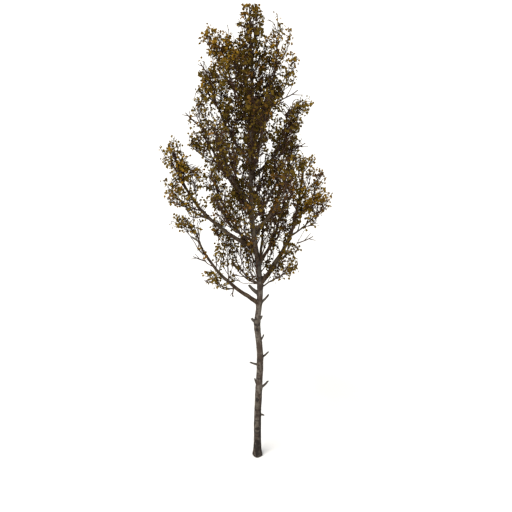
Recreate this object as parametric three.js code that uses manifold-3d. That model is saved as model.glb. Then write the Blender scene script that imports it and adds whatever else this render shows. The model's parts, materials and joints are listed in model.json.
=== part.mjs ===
// A poplar in autumn leaf: one straight stem with ascending boughs and an open, plume-like crown.
// Millimetres, +Z up. The origin is the centre of the flat cut under the trunk, at ground level.
// Headings are in degrees, seen from above: 0 is +X, 90 is +Y.

import * as THREE from 'three';
import { mergeVertices } from 'three/addons/utils/BufferGeometryUtils.js';
import Module from 'manifold-3d';

const wasm = await Module();
wasm.setup();

// ---- Driving dimensions ----

const HEIGHT = 15000;
const STEM = 268; // diameter of the stem just above the root flare
const STEM_TIP = 14;
const STEM_TAPER = 0.72; // 1 would be a straight cone
const FLARE = 80; // added to the diameter at the ground
const FLARE_RISE = 240; // height over which the flare fades
const FLARE_LOBES = { count: 4, depth: 0.15, turn: 0.6 };
const KNUCKLE = { height: 4980, swell: 16, length: 170 }; // old wound that has healed over
const CONTACT = 0.3; // gap between a piece and the wood that it fits round
const SEAM = 1; // growth of a mass before it cuts its neighbour
const SOCKET = 90; // how far a bough's end reaches into its mass
const START = 0.04; // where the leaves begin on a bough that has no bare limb
const LIMB_TAPER = 0.7; // share of its diameter that a bough loses from base to tip
const STUB_SHAPE = { taper: 0.45, out: 0.6, rise: 0.35, knob: 0.12 };

// A mass of leaves: its half size at the ends as a share of its fullest, how late that comes, and how
// round its ends are. Its waves have a depth, and a number round the mass and along it.
const PLUME = { neck: 0.24, late: 1.15, round: 0.75, small: 260 };
const WAVES = [
  { depth: 0.1, around: 2, along: 4 },
  { depth: 0.09, around: 3, along: -9 },
  { depth: 0.07, around: 1, along: 14 },
  { depth: 0.05, around: 0, along: 19 },
];

// Where the stem's centre line passes: height, +X offset, +Y offset.
const STEM_LINE = [
  [0, 0, 0],
  [1450, 0, 25],
  [2500, 36, 5],
  [3750, 84, -15],
  [4400, 50, 0],
  [5150, -12, 20],
  [6100, 74, 10],
  [7200, 20, -35],
  [8660, -172, -20],
  [10500, -210, 30],
  [12300, -150, 10],
  [HEIGHT, -230, -20],
];

// Stubs of dead boughs on the bare stem. length is from the stem's centre line to the broken end.
const STUBS = [
  { name: 'right_1', heading: 345, height: 1690, length: 225, climb: -20, girth: 56 },
  { name: 'right_2', heading: 350, height: 2700, length: 305, climb: 320, girth: 64 },
  { name: 'left_2', heading: 205, height: 2740, length: 155, climb: 390, girth: 54 },
  { name: 'left_3', heading: 188, height: 3620, length: 335, climb: 120, girth: 56 },
  { name: 'right_3', heading: 5, height: 3880, length: 275, climb: 220, girth: 54 },
  { name: 'right_4', heading: 340, height: 4460, length: 165, climb: 310, girth: 46 },
  { name: 'left_5', heading: 195, height: 5170, length: 180, climb: 160, girth: 78 },
  { name: 'right_5', heading: 350, height: 5200, length: 160, climb: 230, girth: 58 },
  { name: 'right_6', heading: 0, height: 5870, length: 290, climb: 300, girth: 60 },
  { name: 'left_7', heading: 190, height: 6190, length: 350, climb: 330, girth: 90 },
];

// Living boughs, from the lowest up. A bough leaves the stem at its height and ends reach away from
// it, climb higher. out and rise place the bend, as shares of the reach and of the climb. bare is the
// share of its run before the leaves begin, and 0 leaves no limb in sight. spread and thick are the
// half sizes of its mass of leaves, level across the bough and square to it.
const BOUGHS = [
  { name: 'left_1', height: 5850, heading: 183, reach: 2060, climb: 2850, out: 0.88, rise: 0.4,
    bare: 0.6, girth: 140, spread: 220, thick: 160 },
  { name: 'right_2', height: 6400, heading: 340, reach: 1230, climb: 960, out: 0.5, rise: 0.5,
    bare: 0.3, girth: 54, spread: 230, thick: 190 },
  { name: 'right_1', height: 6560, heading: 6, reach: 1330, climb: 4150, out: 1.02, rise: 0.38,
    bare: 0.34, girth: 150, spread: 430, thick: 340 },
  { name: 'left_2', height: 6580, heading: 172, reach: 930, climb: 1500, out: 0.8, rise: 0.1,
    bare: 0.42, girth: 52, spread: 240, thick: 230 },
  { name: 'back_1', height: 7000, heading: 84, reach: 2050, climb: 2900, out: 0.8, rise: 0.34,
    bare: 0.36, girth: 110, spread: 480, thick: 400 },
  { name: 'right_3', height: 7220, heading: 28, reach: 1100, climb: 2600, out: 0.65, rise: 0.3,
    bare: 0.3, girth: 112, spread: 420, thick: 360 },
  { name: 'front_1', height: 7400, heading: 266, reach: 1950, climb: 2650, out: 0.8, rise: 0.36,
    bare: 0.4, girth: 104, spread: 460, thick: 380 },
  { name: 'back_2', height: 7620, heading: 145, reach: 1750, climb: 2500, out: 0.78, rise: 0.34,
    bare: 0.34, girth: 94, spread: 430, thick: 380 },
  { name: 'left_3', height: 7750, heading: 180, reach: 2430, climb: 3450, out: 0.97, rise: 0.34,
    bare: 0.55, girth: 140, spread: 310, thick: 260 },
  { name: 'front_2', height: 7980, heading: 221, reach: 1700, climb: 2400, out: 0.78, rise: 0.32,
    bare: 0.34, girth: 90, spread: 430, thick: 380 },
  { name: 'back_3', height: 8150, heading: 52, reach: 2050, climb: 2850, out: 0.8, rise: 0.38,
    bare: 0.36, girth: 98, spread: 470, thick: 380 },
  { name: 'front_3', height: 8350, heading: 306, reach: 1900, climb: 2650, out: 0.8, rise: 0.36,
    bare: 0.36, girth: 98, spread: 470, thick: 380 },
  { name: 'back_4', height: 8750, heading: 118, reach: 1950, climb: 2900, out: 0.78, rise: 0.38,
    bare: 0, girth: 92, spread: 480, thick: 390 },
  { name: 'left_4', height: 9050, heading: 178, reach: 1630, climb: 3000, out: 0.66, rise: 0.42,
    bare: 0.34, girth: 108, spread: 470, thick: 375 },
  { name: 'front_4', height: 9300, heading: 238, reach: 1800, climb: 2650, out: 0.78, rise: 0.38,
    bare: 0, girth: 88, spread: 480, thick: 390 },
  { name: 'back_5', height: 9800, heading: 84, reach: 1620, climb: 2700, out: 0.74, rise: 0.38,
    bare: 0, girth: 78, spread: 480, thick: 400 },
  { name: 'right_4', height: 10050, heading: 2, reach: 1480, climb: 2400, out: 0.74, rise: 0.3,
    bare: 0.28, girth: 92, spread: 440, thick: 390 },
  { name: 'front_5', height: 10100, heading: 289, reach: 1520, climb: 2700, out: 0.72, rise: 0.36,
    bare: 0, girth: 76, spread: 520, thick: 400 },
  { name: 'left_5', height: 10500, heading: 172, reach: 1330, climb: 2880, out: 0.74, rise: 0.34,
    bare: 0.28, girth: 84, spread: 460, thick: 410 },
  { name: 'right_5', height: 10900, heading: 352, reach: 760, climb: 3760, out: 1.02, rise: 0.36,
    bare: 0.36, girth: 64, spread: 300, thick: 240 },
  { name: 'back_6', height: 11100, heading: 56, reach: 1150, climb: 2500, out: 0.72, rise: 0.36,
    bare: 0, girth: 62, spread: 440, thick: 360 },
  { name: 'front_6', height: 11400, heading: 242, reach: 1050, climb: 2400, out: 0.72, rise: 0.36,
    bare: 0, girth: 62, spread: 470, thick: 370 },
  { name: 'left_6', height: 12150, heading: 182, reach: 1190, climb: 2220, out: 0.85, rise: 0.36,
    bare: 0.3, girth: 54, spread: 320, thick: 300 },
  { name: 'back_7', height: 12400, heading: 152, reach: 800, climb: 2000, out: 0.78, rise: 0.3,
    bare: 0, girth: 46, spread: 290, thick: 250 },
];

// Side branches of a bough, in leaf from their start, at a share of the bough's run. own makes a mass
// of its own, and the others are lobes of the bough's mass.
const SIDE_BRANCHES = [
  { on: 'left_1', at: 0.9, heading: 184, reach: 730, climb: 360, out: 0.5, rise: 0.6,
    spread: 130, thick: 110 },
  { on: 'left_1', at: 0.24, heading: 186, reach: 900, climb: 560, out: 0.5, rise: -0.2,
    spread: 240, thick: 200, own: 'left_1_low' },
  { on: 'left_1', at: 0.4, heading: 178, reach: 60, climb: 1450, out: 0.2, rise: 0.5,
    spread: 190, thick: 190, own: 'left_1_upright' },
  { on: 'left_2', at: 0.16, heading: 168, reach: 420, climb: 2050, out: 0.5, rise: 0.4,
    spread: 180, thick: 170, own: 'left_2_upright' },
  { on: 'right_1', at: 0.22, heading: 342, reach: 780, climb: 900, out: 0.6, rise: 0.25,
    spread: 230, thick: 220, own: 'right_1_low' },
  { on: 'right_1', at: 0.5, heading: 352, reach: 1100, climb: 1300, out: 0.74, rise: 0.32,
    spread: 300, thick: 230 },
  { on: 'right_1', at: 0.58, heading: 14, reach: 800, climb: 1420, out: 0.8, rise: 0.3,
    spread: 300, thick: 260 },
  { on: 'left_3', at: 0.36, heading: 186, reach: 1330, climb: 1250, out: 0.62, rise: 0.18,
    spread: 260, thick: 250, own: 'left_3_low' },
  { on: 'left_3', at: 0.5, heading: 165, reach: 150, climb: 1500, out: -0.6, rise: 0.4,
    spread: 300, thick: 250, own: 'left_3_inner' },
  { on: 'left_3', at: 0.74, heading: 183, reach: 600, climb: 860, out: 0.6, rise: 0.4,
    spread: 130, thick: 110 },
  { on: 'left_4', at: 0.5, heading: 182, reach: 900, climb: 640, out: 0.6, rise: 0.3,
    spread: 130, thick: 100 },
  { on: 'right_5', at: 0.36, heading: 0, reach: 760, climb: 1560, out: 0.85, rise: 0.3,
    spread: 250, thick: 230 },
  { on: 'right_5', at: 0.7, heading: 4, reach: 430, climb: 1020, out: 0.8, rise: 0.3,
    spread: 170, thick: 150 },
];

// Leaves round the stem's own tip.
const LEADER = { from: 12400, top: HEIGHT - 15, spread: 450, thick: 480 };

const TINTS = { bark: 0x6e675c, dead: 0x77705f, gold: 0x8b6914, rust: 0x7a4a10, olive: 0x5c5618 };

// ---- Shapes ----

// The same numbers between 0 and 1 on every run.
function seededRandom(seed) {
  let state = seed * 7919 + 17;
  return () => {
    state = (state * 48271) % 2147483647;
    return state / 2147483647;
  };
}

function direction(heading) {
  const angle = THREE.MathUtils.degToRad(heading);
  return new THREE.Vector3(Math.cos(angle), Math.sin(angle), 0);
}

// A closed body of rings along a curve. frame(share) gives a ring's two directions, and
// radii(share, angle) its half sizes along them. grown adds that much all round and at both ends.
function sweep(curve, shares, sides, frame, radii, grown) {
  const positions = [];
  const index = [];
  const lastRing = shares.length - 1;
  const centres = shares.map((share) => curve.getPoint(share));
  centres[0].addScaledVector(curve.getTangent(shares[0]), -grown);
  centres[lastRing].addScaledVector(curve.getTangent(shares[lastRing]), grown);
  shares.forEach((share, ring) => {
    const [first, second] = frame(share);
    for (let i = 0; i < sides; i++) {
      const angle = (2 * Math.PI * i) / sides;
      const [a, b] = radii(share, angle);
      const point = centres[ring].clone();
      point.addScaledVector(first, (a + grown) * Math.cos(angle));
      point.addScaledVector(second, (b + grown) * Math.sin(angle));
      positions.push(point.x, point.y, point.z);
    }
  });
  for (let ring = 0; ring < lastRing; ring++) {
    for (let i = 0; i < sides; i++) {
      const a = ring * sides + i;
      const b = ring * sides + ((i + 1) % sides);
      index.push(a, b, b + sides, a, b + sides, a + sides);
    }
  }
  const startPole = positions.length / 3;
  const endPole = startPole + 1;
  const endRing = lastRing * sides;
  for (const centre of [centres[0], centres[lastRing]]) positions.push(centre.x, centre.y, centre.z);
  for (let i = 0; i < sides; i++) {
    const next = (i + 1) % sides;
    index.push(startPole, next, i);
    index.push(endPole, endRing + i, endRing + next);
  }
  const geometry = new THREE.BufferGeometry();
  geometry.setAttribute('position', new THREE.Float32BufferAttribute(positions, 3));
  geometry.setIndex(index);
  return geometry;
}

function spaced(from, to, count) {
  return Array.from({ length: count }, (_, i) => from + ((to - from) * i) / (count - 1));
}

// Level rings, for the stem.
function levelFrame() {
  return [new THREE.Vector3(1, 0, 0), new THREE.Vector3(0, 1, 0)];
}

// Rings square to a curve that stays in the upright plane of its heading.
function squareFrame(curve, heading) {
  const side = direction(heading - 90);
  return (share) => [side.clone().cross(curve.getTangent(share)), side];
}

// ---- Solids that cut and are cut ----

function toSolid(geometry) {
  const merged = mergeVertices(geometry, 1e-4);
  const mesh = new wasm.Mesh({
    numProp: 3,
    vertProperties: new Float32Array(merged.attributes.position.array),
    triVerts: new Uint32Array(merged.index.array),
  });
  return new wasm.Manifold(mesh);
}

function toGeometry(solid) {
  const mesh = solid.getMesh();
  const geometry = new THREE.BufferGeometry();
  geometry.setAttribute('position', new THREE.BufferAttribute(mesh.vertProperties, 3));
  geometry.setIndex(new THREE.BufferAttribute(mesh.triVerts, 1));
  geometry.computeVertexNormals();
  return geometry;
}

function largestBody(solid) {
  const bodies = solid.decompose();
  return bodies.reduce((best, body) => (body.volume() > best.volume() ? body : best));
}

function boxesMeet(a, b) {
  const p = a.boundingBox();
  const q = b.boundingBox();
  return [0, 1, 2].every((axis) => p.min[axis] <= q.max[axis] && q.min[axis] <= p.max[axis]);
}

function cutBy(solid, cutters) {
  const near = cutters.filter((cutter) => boxesMeet(solid, cutter));
  return largestBody(near.reduce((rest, cutter) => rest.subtract(cutter), solid));
}

// ---- Stem ----

const stemCurve = new THREE.CatmullRomCurve3(
  STEM_LINE.map(([height, x, y]) => new THREE.Vector3(x, y, height)), false, 'catmullrom', 0.5);

function stemPoint(height) {
  let low = 0;
  let high = 1;
  for (let i = 0; i < 40; i++) {
    const middle = (low + high) / 2;
    if (stemCurve.getPoint(middle).z < height) low = middle;
    else high = middle;
  }
  return stemCurve.getPoint((low + high) / 2);
}

function stemRadius(height) {
  const taper = STEM_TIP + (STEM - STEM_TIP) * Math.pow(Math.max(0, 1 - height / HEIGHT), STEM_TAPER);
  const knuckle = KNUCKLE.swell * Math.exp(-(((height - KNUCKLE.height) / KNUCKLE.length) ** 2));
  return (taper + knuckle + FLARE * Math.exp(-height / FLARE_RISE)) / 2;
}

function stemGeometry(grown) {
  const shares = [0, 0.004, 0.012, 0.024, 0.04, ...spaced(0.07, 1, 21)];
  return sweep(stemCurve, shares, 12, levelFrame, (share, angle) => {
    const height = stemCurve.getPoint(share).z;
    const lobe = FLARE_LOBES.depth * Math.cos(FLARE_LOBES.count * angle + FLARE_LOBES.turn);
    const radius = stemRadius(height) * (1 + lobe * Math.exp(-height / FLARE_RISE));
    return [radius, radius];
  }, grown);
}

// ---- Limbs ----

// The curve of a bough, side branch or stub: away from its start, then up.
function limbCurve(start, row) {
  const away = direction(row.heading);
  const bend = start.clone().addScaledVector(away, row.reach * row.out);
  bend.z += row.climb * row.rise;
  const tip = start.clone().addScaledVector(away, row.reach);
  tip.z += row.climb;
  return new THREE.QuadraticBezierCurve3(start, bend, tip);
}

function limbGeometry(curve, row, end, grown) {
  return sweep(curve, spaced(0, end, 5), 6, squareFrame(curve, row.heading), (share) => {
    const radius = (row.girth / 2) * (1 - LIMB_TAPER * share);
    return [radius, radius];
  }, grown);
}

function stubGeometry(row) {
  const curve = limbCurve(stemPoint(row.height), { ...STUB_SHAPE, ...row, reach: row.length });
  return sweep(curve, spaced(0, 1, 4), 5, squareFrame(curve, row.heading), (share, angle) => {
    const knob = 1 + STUB_SHAPE.knob * Math.sin(2 * angle + 9 * share);
    const radius = (row.girth / 2) * (1 - STUB_SHAPE.taper * share) * knob;
    return [radius, radius];
  }, 0);
}

// ---- Masses of leaves ----

// A plume: a narrow neck, its fullest part a little past half way, and a rounded point.
function plumeGeometry(curve, frame, from, row, seed, grown) {
  const random = seededRandom(seed);
  const phases = WAVES.map(() => 2 * Math.PI * random());
  const small = row.spread <= PLUME.small;
  const [rings, sides] = small ? [6, 7] : [8, 9];
  return sweep(curve, spaced(from, 1, rings), sides, frame, (share, angle) => {
    const run = (share - from) / (1 - from);
    const belly = Math.pow(Math.sin(Math.PI * Math.pow(run, PLUME.late)), PLUME.round);
    const full = PLUME.neck + (1 - PLUME.neck) * belly;
    const uneven = WAVES.reduce((sum, wave, i) => (
      sum + wave.depth * Math.sin(wave.around * angle + wave.along * run + phases[i])), 1);
    return [row.thick * full * uneven, row.spread * full * uneven];
  }, grown);
}

function leaderGeometry(seed, grown) {
  const heights = spaced(LEADER.from, LEADER.top, 5);
  const curve = new THREE.CatmullRomCurve3(heights.map((height) => stemPoint(height)));
  return plumeGeometry(curve, levelFrame, 0, LEADER, seed, grown);
}

// ---- The tree ----

const tree = new THREE.Group();

function addPiece(name, solid, tint, roughness) {
  const material = new THREE.MeshStandardMaterial({ color: tint, roughness, metalness: 0 });
  const mesh = new THREE.Mesh(toGeometry(solid), material);
  mesh.name = name;
  tree.add(mesh);
}

const stemKeepOut = toSolid(stemGeometry(CONTACT));
addPiece('trunk', toSolid(stemGeometry(0)), TINTS.bark, 0.9);

for (const row of STUBS) {
  addPiece(`stub_${row.name}`, cutBy(toSolid(stubGeometry(row)), [stemKeepOut]), TINTS.dead, 0.95);
}

const boughCurves = new Map();
const limbKeepOuts = [];
for (const row of BOUGHS) {
  const curve = limbCurve(stemPoint(row.height), row);
  boughCurves.set(row.name, curve);
  if (row.bare > 0) {
    const end = row.bare + SOCKET / curve.getLength();
    const limb = toSolid(limbGeometry(curve, row, end, 0));
    addPiece(`bough_${row.name}`, cutBy(limb, [stemKeepOut, ...limbKeepOuts]), TINTS.bark, 0.9);
    limbKeepOuts.push(toSolid(limbGeometry(curve, row, end, CONTACT)));
  }
}

// Adds one mass. shapes(seed, grown) gives its plumes, which are joined into one body.
const leafTints = [TINTS.gold, TINTS.rust, TINTS.olive];
const massKeepOuts = [];
function addMass(name, shapes) {
  const seed = massKeepOuts.length + 1;
  const join = (grown) => shapes(seed, grown).map(toSolid).reduce((whole, lobe) => whole.add(lobe));
  const mass = cutBy(join(0), [stemKeepOut, ...limbKeepOuts, ...massKeepOuts]);
  addPiece(`foliage_${name}`, mass, leafTints[seed % leafTints.length], 0.85);
  massKeepOuts.push(join(SEAM));
}

function sidePlume(side, seed, grown) {
  const curve = limbCurve(boughCurves.get(side.on).getPoint(side.at), side);
  return plumeGeometry(curve, squareFrame(curve, side.heading), 0, side, seed, grown);
}

addMass('leader', (seed, grown) => [leaderGeometry(seed, grown)]);
for (const row of BOUGHS) {
  const curve = boughCurves.get(row.name);
  const lobes = SIDE_BRANCHES.filter((side) => side.on === row.name && !side.own);
  addMass(row.name, (seed, grown) => [
    plumeGeometry(curve, squareFrame(curve, row.heading), row.bare || START, row, seed, grown),
    ...lobes.map((side, i) => sidePlume(side, seed + 100 * (i + 1), grown)),
  ]);
}
for (const side of SIDE_BRANCHES.filter((branch) => branch.own)) {
  addMass(side.own, (seed, grown) => [sidePlume(side, seed, grown)]);
}

export default tree;
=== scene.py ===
"""A poplar in autumn leaf: bark relief, shoots, dead twigs and leaves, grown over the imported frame.

Metres, Z up. The stem stands on the origin, which is at ground level.
Headings are in degrees, seen from above: 0 is +X, 90 is +Y.
The limbs and the crown are worked out once in a run, with the settings as they then are.
"""

import json
import math
from collections import namedtuple
from functools import lru_cache

import bpy
import numpy as np
from bpy.props import FloatProperty, FloatVectorProperty, IntProperty, PointerProperty
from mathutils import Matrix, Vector, bvhtree, kdtree

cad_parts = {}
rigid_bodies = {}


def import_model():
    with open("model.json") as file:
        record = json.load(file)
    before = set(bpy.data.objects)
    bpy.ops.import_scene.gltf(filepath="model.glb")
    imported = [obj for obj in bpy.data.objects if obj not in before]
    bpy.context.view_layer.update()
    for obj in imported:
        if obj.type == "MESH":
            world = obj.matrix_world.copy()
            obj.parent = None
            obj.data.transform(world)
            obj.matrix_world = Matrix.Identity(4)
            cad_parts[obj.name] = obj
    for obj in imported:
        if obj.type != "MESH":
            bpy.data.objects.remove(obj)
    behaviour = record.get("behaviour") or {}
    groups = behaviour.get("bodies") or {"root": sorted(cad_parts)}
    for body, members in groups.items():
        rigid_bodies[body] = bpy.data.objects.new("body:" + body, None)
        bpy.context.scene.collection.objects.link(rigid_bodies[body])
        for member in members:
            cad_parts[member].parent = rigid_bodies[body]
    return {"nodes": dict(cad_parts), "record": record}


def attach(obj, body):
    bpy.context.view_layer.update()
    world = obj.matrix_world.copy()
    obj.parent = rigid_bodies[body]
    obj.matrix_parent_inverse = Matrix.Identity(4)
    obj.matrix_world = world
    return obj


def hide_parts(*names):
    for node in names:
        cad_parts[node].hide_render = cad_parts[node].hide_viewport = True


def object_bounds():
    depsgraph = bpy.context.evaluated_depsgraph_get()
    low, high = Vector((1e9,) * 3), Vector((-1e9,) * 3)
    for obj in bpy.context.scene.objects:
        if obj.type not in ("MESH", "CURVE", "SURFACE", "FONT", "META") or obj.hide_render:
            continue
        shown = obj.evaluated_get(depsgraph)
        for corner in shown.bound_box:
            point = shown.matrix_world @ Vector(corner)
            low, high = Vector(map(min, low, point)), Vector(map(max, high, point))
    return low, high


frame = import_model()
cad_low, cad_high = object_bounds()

bl_info = {
    "name": "Autumn Poplar",
    "version": (1, 0, 0),
    "blender": (4, 5, 0),
    "location": "View3D > Sidebar > Poplar",
    "description": "Grows a poplar's bark, shoots, dead twigs and leaves over its frame",
    "category": "Add Mesh",
}

UP = np.array([0.0, 0.0, 1.0])
VIEW_DOWN = math.radians(21)  # how far the front view looks down
FRONT_VIEW = math.tan(VIEW_DOWN)  # how much higher it shows a point for each metre farther back

# ---- The stem and limbs, on the lines of the frame's solids ----

HEIGHT = 15.0
STEM_GIRTH = 0.268  # diameter of the stem just above the root flare
TIP_GIRTH = 0.014
STEM_TAPER = 0.72  # power by which the stem thins with height
FLARE_GIRTH, FLARE_RISE = 0.08, 0.24  # what the flare adds at the ground, and how high it reaches
FLARE_LOBES, FLARE_DEPTH, FLARE_TURN = 4, 0.15, 0.6  # depth as a share of the stem's radius
KNUCKLE_HEIGHT, KNUCKLE_SWELL, KNUCKLE_LENGTH = 4.98, 0.016, 0.17  # a swelling of the bare stem
LIMB_TAPER = 0.7  # share of its girth that a bare limb loses along its run
LEAFY_GAIN = 0.3  # how much of that taper a limb is spared where it bears shoots
TIP_FALL = 0.85  # how much of its girth a limb then loses toward its tip
THINNEST_LIMB = 0.008  # radius

# Where the stem's centre line passes: height, +X offset, +Y offset.
STEM_LINE = [
    (0.0, 0.0, 0.0),
    (1.45, 0.0, 0.025),
    (2.5, 0.036, 0.005),
    (3.75, 0.084, -0.015),
    (4.4, 0.05, 0.0),
    (5.15, -0.012, 0.02),
    (6.1, 0.074, 0.01),
    (7.2, 0.02, -0.035),
    (8.66, -0.172, -0.02),
    (10.5, -0.21, 0.03),
    (12.3, -0.15, 0.01),
    (HEIGHT, -0.23, -0.02),
]

# A bough leaves the stem at its height and ends reach away from it, climb higher. out and rise place
# its bend, as shares of the reach and of the climb. bare is the share without leaves.
Bough = namedtuple("Bough", "name height heading reach climb out rise bare girth")
BOUGHS = [
    Bough("left_1", 5.85, 183, 2.06, 2.85, 0.88, 0.4, 0.6, 0.14),
    Bough("right_2", 6.4, 340, 1.23, 0.96, 0.5, 0.5, 0.3, 0.054),
    Bough("right_1", 6.56, 6, 1.33, 4.15, 1.02, 0.38, 0.34, 0.15),
    Bough("left_2", 6.58, 172, 0.93, 1.5, 0.8, 0.1, 0.42, 0.052),
    Bough("back_1", 7.0, 84, 2.05, 2.9, 0.8, 0.34, 0.36, 0.11),
    Bough("right_3", 7.22, 28, 1.1, 2.6, 0.65, 0.3, 0.3, 0.112),
    Bough("front_1", 7.4, 266, 1.95, 2.65, 0.8, 0.36, 0.4, 0.104),
    Bough("back_2", 7.62, 145, 1.75, 2.5, 0.78, 0.34, 0.34, 0.094),
    Bough("left_3", 7.75, 180, 2.43, 3.45, 0.97, 0.34, 0.55, 0.14),
    Bough("front_2", 7.98, 221, 1.7, 2.4, 0.78, 0.32, 0.34, 0.09),
    Bough("back_3", 8.15, 52, 2.05, 2.85, 0.8, 0.38, 0.36, 0.098),
    Bough("front_3", 8.35, 306, 1.9, 2.65, 0.8, 0.36, 0.36, 0.098),
    Bough("back_4", 8.75, 118, 1.95, 2.9, 0.78, 0.38, 0.04, 0.092),
    Bough("left_4", 9.05, 178, 1.63, 3.0, 0.66, 0.42, 0.34, 0.108),
    Bough("front_4", 9.3, 238, 1.8, 2.65, 0.78, 0.38, 0.04, 0.088),
    Bough("back_5", 9.8, 84, 1.62, 2.7, 0.74, 0.38, 0.04, 0.078),
    Bough("right_4", 10.05, 2, 1.48, 2.4, 0.74, 0.3, 0.28, 0.092),
    Bough("front_5", 10.1, 289, 1.52, 2.7, 0.72, 0.36, 0.04, 0.076),
    Bough("left_5", 10.5, 172, 1.33, 2.88, 0.74, 0.34, 0.28, 0.084),
    Bough("right_5", 10.9, 352, 0.76, 3.76, 1.02, 0.36, 0.36, 0.064),
    Bough("back_6", 11.1, 56, 1.15, 2.5, 0.72, 0.36, 0.04, 0.062),
    Bough("front_6", 11.4, 242, 1.05, 2.4, 0.72, 0.36, 0.04, 0.062),
    Bough("left_6", 12.15, 182, 1.19, 2.22, 0.85, 0.36, 0.3, 0.054),
    Bough("back_7", 12.4, 152, 0.8, 2.0, 0.78, 0.3, 0.04, 0.046),
]

# A branch leaves its bough at a share of the bough's run, or the stem at a height.
Branch = namedtuple("Branch", "bough share heading reach climb out rise girth")
BRANCHES = [
    Branch("left_1", 0.9, 184, 0.73, 0.36, 0.5, 0.6, 0.034),
    Branch("left_1", 0.24, 186, 0.9, 0.56, 0.5, -0.2, 0.045),
    Branch("left_1", 0.33, 178, 0.06, 1.5, 0.2, 0.5, 0.042),
    Branch("left_2", 0.16, 168, 0.42, 2.05, 0.5, 0.4, 0.045),
    Branch("right_1", 0.22, 342, 0.78, 0.9, 0.6, 0.25, 0.048),
    Branch("right_1", 0.44, 352, 1.25, 1.35, 0.55, 0.4, 0.059),
    Branch("right_1", 0.58, 14, 0.8, 1.42, 0.8, 0.3, 0.05),
    Branch("left_3", 0.36, 186, 1.33, 1.25, 0.62, 0.18, 0.064),
    Branch("left_3", 0.5, 165, 0.1, 0.85, -0.6, 0.4, 0.04),
    Branch("left_3", 0.74, 183, 0.6, 0.86, 0.6, 0.4, 0.034),
    Branch("left_4", 0.5, 182, 0.74, 0.5, 0.6, 0.3, 0.036),
    Branch("right_5", 0.36, 0, 0.76, 1.56, 0.85, 0.3, 0.036),
    Branch("right_5", 0.7, 4, 0.43, 1.02, 0.8, 0.3, 0.025),
    Branch("left_1", 0.44, 10, 0.1, 0.62, 0.6, 0.3, 0.03),
    Branch("left_1", 0.8, 186, 0.52, 0.72, 0.7, 0.2, 0.034),
    Branch("stem", 6.55, 176, 1.04, 1.3, 0.72, 0.06, 0.05),
    Branch("stem", 6.5, 196, 0.36, 1.25, 0.6, 0.3, 0.036),
    Branch("stem", 6.6, 210, 0.5, 2.5, 0.5, 0.25, 0.044),
    Branch("stem", 6.45, 350, 0.42, 1.3, 0.8, 0.3, 0.036),
    Branch("stem", 6.9, 20, 0.6, 1.5, 0.8, 0.3, 0.04),
    Branch("stem", 7.3, 330, 0.55, 1.7, 0.7, 0.3, 0.044),
    Branch("stem", 7.1, 150, 0.6, 1.9, 0.7, 0.3, 0.044),
    Branch("stem", 8.9, 15, 0.32, 1.9, 0.9, 0.3, 0.044),
    Branch("stem", 8.7, 4, 1.0, 2.3, 0.7, 0.32, 0.06),
    Branch("right_1", 0.16, 350, 0.55, 1.2, 0.7, 0.25, 0.04),
]

# A stub's length is from the stem's centre line to its broken end.
Stub = namedtuple("Stub", "name heading height length climb girth")
STUBS = [
    Stub("right_1", 345, 1.69, 0.225, -0.02, 0.056),
    Stub("right_2", 350, 2.7, 0.305, 0.32, 0.064),
    Stub("left_2", 205, 2.74, 0.155, 0.39, 0.054),
    Stub("left_3", 188, 3.62, 0.335, 0.12, 0.056),
    Stub("right_3", 5, 3.88, 0.275, 0.22, 0.054),
    Stub("right_4", 340, 4.46, 0.165, 0.31, 0.046),
    Stub("left_5", 195, 5.17, 0.18, 0.16, 0.078),
    Stub("right_5", 350, 5.2, 0.16, 0.23, 0.058),
    Stub("right_6", 0, 5.87, 0.29, 0.3, 0.06),
    Stub("left_7", 190, 6.19, 0.35, 0.33, 0.09),
]
# Loose bark makes a stub this much thicker than its wood.
STUB_BARK = 1.35
STUB_TAPER, STUB_OUT, STUB_RISE = 0.3, 0.6, 0.35

# ---- Where the crown is full, and where it is open ----

# How full the masses are that differ from the rest, as a share of the usual growing points.
FULLNESS = {
    "left_1_low": 1.5,
    "left_3": 1.5,
    "left_3_low": 1.5,
    "left_4": 0.7,
    "left_5": 2.0,
    "left_6": 2.0,
    "right_1": 0.6,
    "right_1_low": 1.5,
    "right_4": 0.9,
    "right_5": 0.4,
    "front_1": 0.2,
    "front_2": 0.35,
    "front_3": 0.4,
    "front_4": 0.4,
    "front_5": 0.6,
    "front_6": 1.1,
    "back_6": 1.8,
    "back_7": 1.8,
    "leader": 2.1,
}

# Places between the masses that shoots fill too: centre, then half sizes.
FILLS = [
    (-0.63, -0.1, 11.5, 0.35, 0.5, 0.8),
    (0.4, 0.0, 10.2, 0.35, 0.5, 0.6),
    (-0.66, 0.0, 9.1, 0.4, 0.5, 0.5),
    (0.48, 0.1, 7.7, 0.2, 0.25, 0.4),
    (0.45, 0.1, 6.95, 0.25, 0.3, 0.3),
    (-0.7, 0.1, 6.6, 0.24, 0.2, 0.2),
    (-1.2, 0.1, 8.3, 0.3, 0.3, 0.35),
    (-2.3, 0.0, 8.45, 0.3, 0.25, 0.3),
    (-1.65, 0.0, 12.2, 0.2, 0.25, 0.6),
    (-1.6, 0.0, 10.3, 0.3, 0.35, 0.5),
    (1.6, 0.0, 9.1, 0.3, 0.35, 0.5),
    (1.5, 0.0, 10.3, 0.25, 0.3, 0.4),
    (-1.1, 0.0, 13.8, 0.3, 0.3, 0.4),
    (-1.8, 0.0, 10.93, 0.22, 0.15, 0.14),
    (-1.02, 0.0, 8.0, 0.2, 0.2, 0.4),
    (1.65, 0.0, 8.6, 0.25, 0.25, 0.3),
]

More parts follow.
